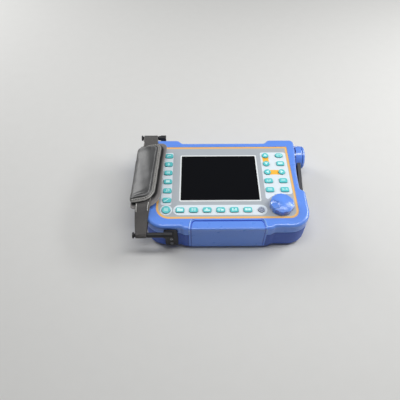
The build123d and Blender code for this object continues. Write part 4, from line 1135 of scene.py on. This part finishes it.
def stitch_row(name, surface, places, length, radius, finish):
    """Threads laid on a surface, seen from the strap's face. Gives how many there are."""
    bm = bmesh.new()
    count = 0
    last = len(stitch_profile) - 1
    for spot, along in places:
        spine = []
        for k in range(last + 1):
            share = k / last - 0.5
            flat = spot + along * length * share
            hit, place, *_ = surface.ray_cast(on_strap(flat.x, flat.y, ray_height), -strap_up)
            if hit:
                lift = radius * (1.0 - (2 * share) ** 4 * 1.9)
                spine.append(place + strap_up * lift * MM)
        if len(spine) <= last:
            continue
        rows = []
        for k, centre in enumerate(spine):
            forward = (spine[min(k + 1, last)] - spine[max(k - 1, 0)]).normalized()
            side = forward.cross(strap_up).normalized()
            thickness = radius * stitch_profile[k] * MM
            rows.append(ring(bm, centre, side, side.cross(forward), thickness, stitch_sides))
        bridge(bm, rows)
        count += 1
    piece_from(name, bm, finish, "housing")
    return count


# %% Stitches on the pad
seam_end = -18.0
off_seam = 1.7
shown = seam_line[:, 0] > seam_end
first = int(np.flatnonzero(shown & ~np.roll(shown, 1))[0])
seam_shown = [Vector(point) for point in np.roll(seam_line, -first, axis=0) if point[0] > seam_end]
stitch_line = []
for a, b in zip(seam_shown, seam_shown[1:]):
    outward = Vector((b.y - a.y, a.x - b.x)).normalized()
    stitch_line.append(a + outward * off_seam)
places = walk(stitch_line, pitch=3.6)
print(stitch_row("pad_stitches", pad, places, length=2.7, radius=0.32, finish=thread), "stitches on the pad")

# %% [markdown]
# ## Woven webbing
# The webbing is a flat woven band. It runs between pad and lining, loops round the bar of each lug and comes
# back under itself. It is flat and thin, so it is modelled directly as a ribbon: a smooth centre line, a
# width for every step of it and a cross section with rounded edges. Two numbers are kept at each point,
# across and along the band in millimetres, and the weave is worked out from them, so it follows the band
# round each loop.

# %% Woven finish
yarn_length = 1.1
yarn_width = 1.5
edge_yarns = 9.8
webbing = Finish("woven_band")
spread = webbing.stored("weave", 1)
across, along, _ = webbing.split(spread)
row = along / yarn_length
odd = (row / 2.0).fraction() > 0.5
column = across / yarn_width + 0.5 * odd
yarn = abs((column * math.pi).sine()) * abs((row * math.pi).sine())
selvedge = ((abs(across) - edge_yarns) / 0.5).clamped()
fuzz = webbing.noise(spread, 3.0, 5.0, 0.7)
tone = webbing.mix(fuzz, paint(94, 92, 91), paint(122, 119, 117))
tone = webbing.mix(yarn, paint(50, 49, 50), tone)
webbing.surface(
    {
        "Base Color": webbing.mix(selvedge * 0.5, tone, paint(128, 125, 122)),
        "Roughness": 0.72 + 0.16 * yarn,
        "Normal": webbing.bump(yarn, 0.22, 0.8),
    }
)
print("weave ready")

# %% Ribbon
band_thickness = 1.6
# A place on the band's cross section: share of the half width, and share of the half thickness
half_section = [(-1.0, 0.0), (-0.97, 0.75), (-0.8, 1.0), (-0.4, 1.0), (0.0, 1.0), (0.4, 1.0), (0.8, 1.0)]
half_section += [(0.97, 0.75)]
section = half_section + [(-share, -height) for share, height in half_section]


def smooth_line(points, step):
    """Points every `step` millimetres along a smooth curve through the given rows of numbers."""
    rows = [np.array(point, float) for point in points]
    rows = [2 * rows[0] - rows[1]] + rows + [2 * rows[-1] - rows[-2]]
    found = []
    for a, b, c, d in zip(rows, rows[1:], rows[2:], rows[3:]):
        pieces = max(2, round(float(np.linalg.norm((c - b)[:3])) / step))
        for k in range(pieces):
            t = k / pieces
            bend = (c - a) * t + (2 * a - 5 * b + 4 * c - d) * t**2 + (3 * b - a - 3 * c + d) * t**3
            found.append(b + bend / 2)
    found.append(rows[-2])
    return found


def ribbon(name, rows):
    """A band along rows of (x, y, z, half width, roll in degrees, cup), all in millimetres."""
    line = smooth_line(rows, step=1.2)
    centres = [Vector(row[:3]) for row in line]
    bm = bmesh.new()
    weave = bm.verts.layers.float_vector.new("weave")
    loops, run = [], 0.0
    for i, (*_, half, turn, cup) in enumerate(line):
        before, after = centres[max(i - 1, 0)], centres[min(i + 1, len(line) - 1)]
        forward = (after - before).normalized()
        side = Vector((1, 0, 0))
        side = (side - forward * side.dot(forward)).normalized()
        up = side.cross(forward).normalized()
        roll = Matrix.Rotation(math.radians(turn), 3, forward)
        side, up = roll @ side, roll @ up
        run += (centres[i] - before).length
        loop = []
        for share, height in section:
            offset = side * share * half + up * (height * band_thickness / 2 + cup * share * share)
            point = bm.verts.new((centres[i] + offset) * MM)
            point[weave] = (share * half, run, height)
            loop.append(point)
        loops.append(loop)
    bridge(bm, loops)
    return piece_from(name, bm, webbing, "housing")


# %% Band
loop_radius = 3.5
loop_steps = 8
loop_start, loop_stop = 5, 175


def strap_row(u, v, w, half, roll=0.0, cup=0.0):
    """A row for a ribbon from a place in the strap's frame."""
    return [*(on_strap(u, v, w) / MM), half, roll, cup]


def loop_rows(x, bar_y, bar_z, half, cup=0.0):
    """Rows round the bar of a lug, away from the strap."""
    away = math.copysign(loop_radius, bar_y)
    found = []
    for k in range(loop_steps + 1):
        t = math.radians(loop_start + (loop_stop - loop_start) * k / loop_steps)
        found.append([x, bar_y + away * math.sin(t), bar_z + loop_radius * math.cos(t), half, 0.0, cup])
    return found


upper = [strap_row(u, v, -1.0, 11.5, 14.0) for u, v in ((0.0, 0), (0.2, 20), (0.4, 40), (0.5, 55))]
upper += [strap_row(0.2, 63, -1.4, 11.4, 12.0), [-116.4, 79.0, 53.2, 11.3, 5.0, 0.0]]
upper += loop_rows(-117.0, 91.5, 47.0, 11.2)
upper += [[-117.0, 84.0, 44.6, 11.2, 0.0, 0.0], [-116.8, 77.0, 48.2, 11.1, 3.0, 0.0]]
upper += [[-116.4, 71.5, 50.7, 11.0, 7.0, 0.0]]
lower = [strap_row(u, v, -1.0, 11.3, 14.0) for u, v in ((0.0, 0), (-0.2, -20), (-0.6, -38), (-0.9, -54))]
lower += [strap_row(-1.2, -63, -1.6, 11.0, 12.0, 0.4), [-119.8, -73.0, 50.0, 9.2, 8.0, 1.3]]
lower += loop_rows(-119.0, -91.5, 42.0, 7.6, 0.2)
lower += [[-119.0, -84.0, 39.4, 7.8, 0.0, 0.3], [-118.8, -77.0, 43.4, 8.4, 3.0, 0.8]]
lower += [[-118.6, -71.0, 46.8, 9.0, 6.0, 0.9]]
band = ribbon("strap_webbing_band", upper)
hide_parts("strap_webbing")
band_low = ribbon("strap_webbing_lower", lower)
print("webbing has", len(band.data.vertices) + len(band_low.data.vertices), "points")

# %% [markdown]
# ## Lining
# Under the pad lies a soft lining, wider at the right, with a bound edge. It rests on the webbing without a
# fold, so nothing has to be simulated: it is a thin shell whose right edge lifts a little where nothing holds
# it down. It is painted dark where it tucks under the pad, for the deep shadow there. The binding is a round
# tape swept along the outline.

# %% Lining finish
lining_cloth = Finish("lining_cloth")
place = lining_cloth.place()
nap = lining_cloth.noise(place, 0.5, 4.0, 0.75)
patch = lining_cloth.noise(place, 12.0, 3.0)
shade = lining_cloth.mix(patch, paint(114, 111, 111), paint(130, 126, 126))
lining_cloth.surface(
    {
        "Base Color": lining_cloth.mix(lining_cloth.stored("tuck"), shade, paint(18, 18, 19)),
        "Roughness": 0.86 + 0.1 * nap,
        "Sheen Weight": 0.3,
        "Normal": lining_cloth.bump(nap, 0.12, 0.8),
    }
)
tape_shades = paint(128, 125, 124), paint(150, 146, 145)
tape = ribbed("binding_tape", *tape_shades, 0.8, lean=0.7, turns=5.0, depth=0.06, strength=0.6)
print("lining and tape ready")

# %% Lining
lining_corners = [(-19.6, -60, 6.5), (22.8, -60, 20), (23.5, 14, 90), (26.8, 60, 12), (-19.6, 60, 13)]
lining_outline = rounded_outline(lining_corners)
lining_spine = (2, -42), (3, 44)
lining_rings = [(0.95, -3.5), (0.6, -3.5), (0.3, -3.5), (0.1, -3.5), (0.02, -3.4), (0.0, -2.9), (0.02, -2.4)]
lining_rings += [(0.06, -2.3), (0.1, -2.25)]
lining_rings += [(share, -2.2) for share in (0.15, 0.2, 0.25, 0.3, 0.35, 0.6, 0.95)]


def edge_lift(u, v):
    """How far the loose right edge stands up, in millimetres."""
    return 1.3 * max(0.0, (u - 19.5) / 6.5) ** 2 + 0.35 * math.sin(v / 9.0) * max(0.0, (u - 17.0) / 9.0)


bm = shell(lining_outline, lining_spine, lining_rings)
for point in bm.verts:
    u, v, w = (STRAP.inverted() @ point.co) / MM
    point.co = on_strap(u, v, w + edge_lift(u, v))
lining = piece_from("strap_lining_cloth", bm, lining_cloth, "housing")
spots = in_strap([v.co for v in lining.data.vertices])[:, :2]
beyond = signed_gap(spots, np.array([tuple(point) for point in pad_outline]))
store(lining.data, "tuck", np.clip(1.0 - (beyond - 0.8) / 2.2, 0.0, 1.0))
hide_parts("strap_lining")
following = lining_outline[1:] + lining_outline[:1]

# %% Bound edge
tape_sides = 8
binding_height = -2.85
binding_radius = 0.9


def tube_along(points, radius, up, closed):
    """A round tape through points of the part's frame, in metres. Closed, it comes back to its start."""
    bm = bmesh.new()
    last = len(points) - 1
    rows = []
    for i, here in enumerate(points):
        if closed:
            before, after = points[i - 1], points[(i + 1) % len(points)]
        else:
            before, after = points[max(i - 1, 0)], points[min(i + 1, last)]
        side = (after - before).normalized().cross(up).normalized()
        rows.append(ring(bm, here, side, up, radius * MM, tape_sides))
    bridge(bm, rows + rows[:1] if closed else rows, capped=not closed)
    return bm


edge_points = [on_strap(p.x, p.y, binding_height + edge_lift(p.x, p.y)) for p in lining_outline]
tube = tube_along(edge_points, binding_radius, strap_up, closed=True)
binding = piece_from("lining_binding", tube, tape, "housing")
print("binding has", len(binding.data.polygons), "faces")

# %% [markdown]
# ## Sewing on the webbing
# The webbing is sewn to the pad along both edges, and the pale thread shows for a centimetre below the pad.
# It is thicker than the thread of the seam, and its two rows draw together a little as the webbing narrows.

# %% Webbing stitches
pale_thread = ribbed("pale_thread", paint(214, 213, 210), paint(240, 239, 236), 0.55)
for name, side in (("left_edge_stitches", -1), ("right_edge_stitches", 1)):
    line = [Vector((-1.0 + side * 8.8, -55.4)), Vector((-1.5 + side * 8.2, -67.5))]
    places = walk(line, pitch=2.6)
    print(name, stitch_row(name, band_low, places, length=2.4, radius=0.5, finish=pale_thread))

# %% [markdown]
# ## Lips beside the battery cover
# The bezel has a low round lip along each side of the battery cover, over the front edge and down the front
# face. It keeps dirt out of the gap, and it catches the light as two bright curved lines. Its blue is painted
# paler than the bezel's, a painted highlight.

# %% Lips
lip_radius = 0.85
lip_rows = [(46.8, -71.6, 50.5), (49.5, -72.3, 50.5), (51.1, -74.6, 50.5), (52.8, -82.8, 50.5)]
lip_rows += [(53.0, -85.0, 50.0), (53.2, -86.8, 48.6), (53.4, -87.6, 46.2), (53.4, -87.6, 38.0)]
# A paler blue than the bezel's: a painted highlight on the lips
pale_highlight_blue = gloss_plastic("pale_highlight_blue", paint(146, 190, 255), paint(136, 180, 252), 0.25)
for name, side in (("left_cover_lip", -1), ("right_cover_lip", 1)):
    line = [Vector((side * x, y, z)) * MM for x, y, z in smooth_line(lip_rows, step=0.8)]
    tube = tube_along(line, lip_radius, Vector((side, 0, 0)), closed=False)
    piece_from(name, tube, pale_highlight_blue, "housing")
    print(name, "has", len(line), "steps")

# %% [markdown]
# ## Floor
# The instrument stands on a plain pale sheet. It is far larger than the view, so its edge is never seen, and
# it keeps the shadow that ties the part to the ground. It belongs to the stage.

# %% Floor
floor_half = 3.0
floor_mesh = bpy.data.meshes.new("floor")
bm = bmesh.new()
bmesh.ops.create_grid(bm, x_segments=1, y_segments=1, size=floor_half)
bm.to_mesh(floor_mesh)
bm.free()
floor = bpy.data.objects.new("floor", floor_mesh)
scene.collection.objects.link(floor)
ground = Finish("floor_paper")
mottle = ground.noise(ground.place(), 20.0)
paper = ground.mix(mottle, paint(212, 212, 210), paint(215, 215, 213))
ground.surface({"Base Color": paper, "Roughness": 0.9})
floor_mesh.materials.append(ground.material)
print("floor is", 2 * floor_half, "m wide")

# %% [markdown]
# ## Light
# Four large soft lamps and a dim even sky light the part. Their sum on a level surface is a little over 1,
# so colours come out about as they are written. The first stands behind at the right and draws the bright
# rims of the bezel and the knob. The second, behind at the left, makes the sheen on the crowned pad. The
# third is long and low at the right, and its reflection follows the rounded corner of the housing. The
# fourth is wide and hangs above, for the line along the front rim and the highlights on the hub and the
# knob.


# %% Lamps
def lamp(name, place, target, size, power):
    """A soft box that points at a target. Gives what it adds to a level surface there."""
    data = bpy.data.lights.new(name, "AREA")
    data.shape = "RECTANGLE"
    data.size, data.size_y = size
    data.energy = power
    made = bpy.data.objects.new(name, data)
    made.location = place
    way = Vector(target) - Vector(place)
    made.rotation_euler = way.to_track_quat("-Z", "Y").to_euler()
    scene.collection.objects.link(made)
    return power * (-way.z / way.length) / (math.pi * way.length) ** 2


level = lamp("back_right_lamp", (0.85, 0.35, 0.95), (0, 0, 0.03), (0.4, 0.4), 2.6)
level += lamp("back_left_lamp", (-0.93, 0.72, 0.66), (-0.1, 0, 0.05), (0.6, 0.6), 7.2)
level += lamp("right_lamp", (0.95, 0.3, 0.6), (0.1, 0, 0.03), (0.7, 0.13), 5.0)
level += lamp("top_lamp", (0.15, -0.05, 1.05), (0.15, 0, 0.03), (1.0, 0.2), 5.8)
sky = 0.12
world = bpy.data.worlds.new("studio")
scene.world = world
world.use_nodes = True
background = world.node_tree.nodes["Background"].inputs
background["Color"].default_value = (1, 1, 1, 1)
background["Strength"].default_value = sky
print("light on a level surface:", round(level + sky, 2))
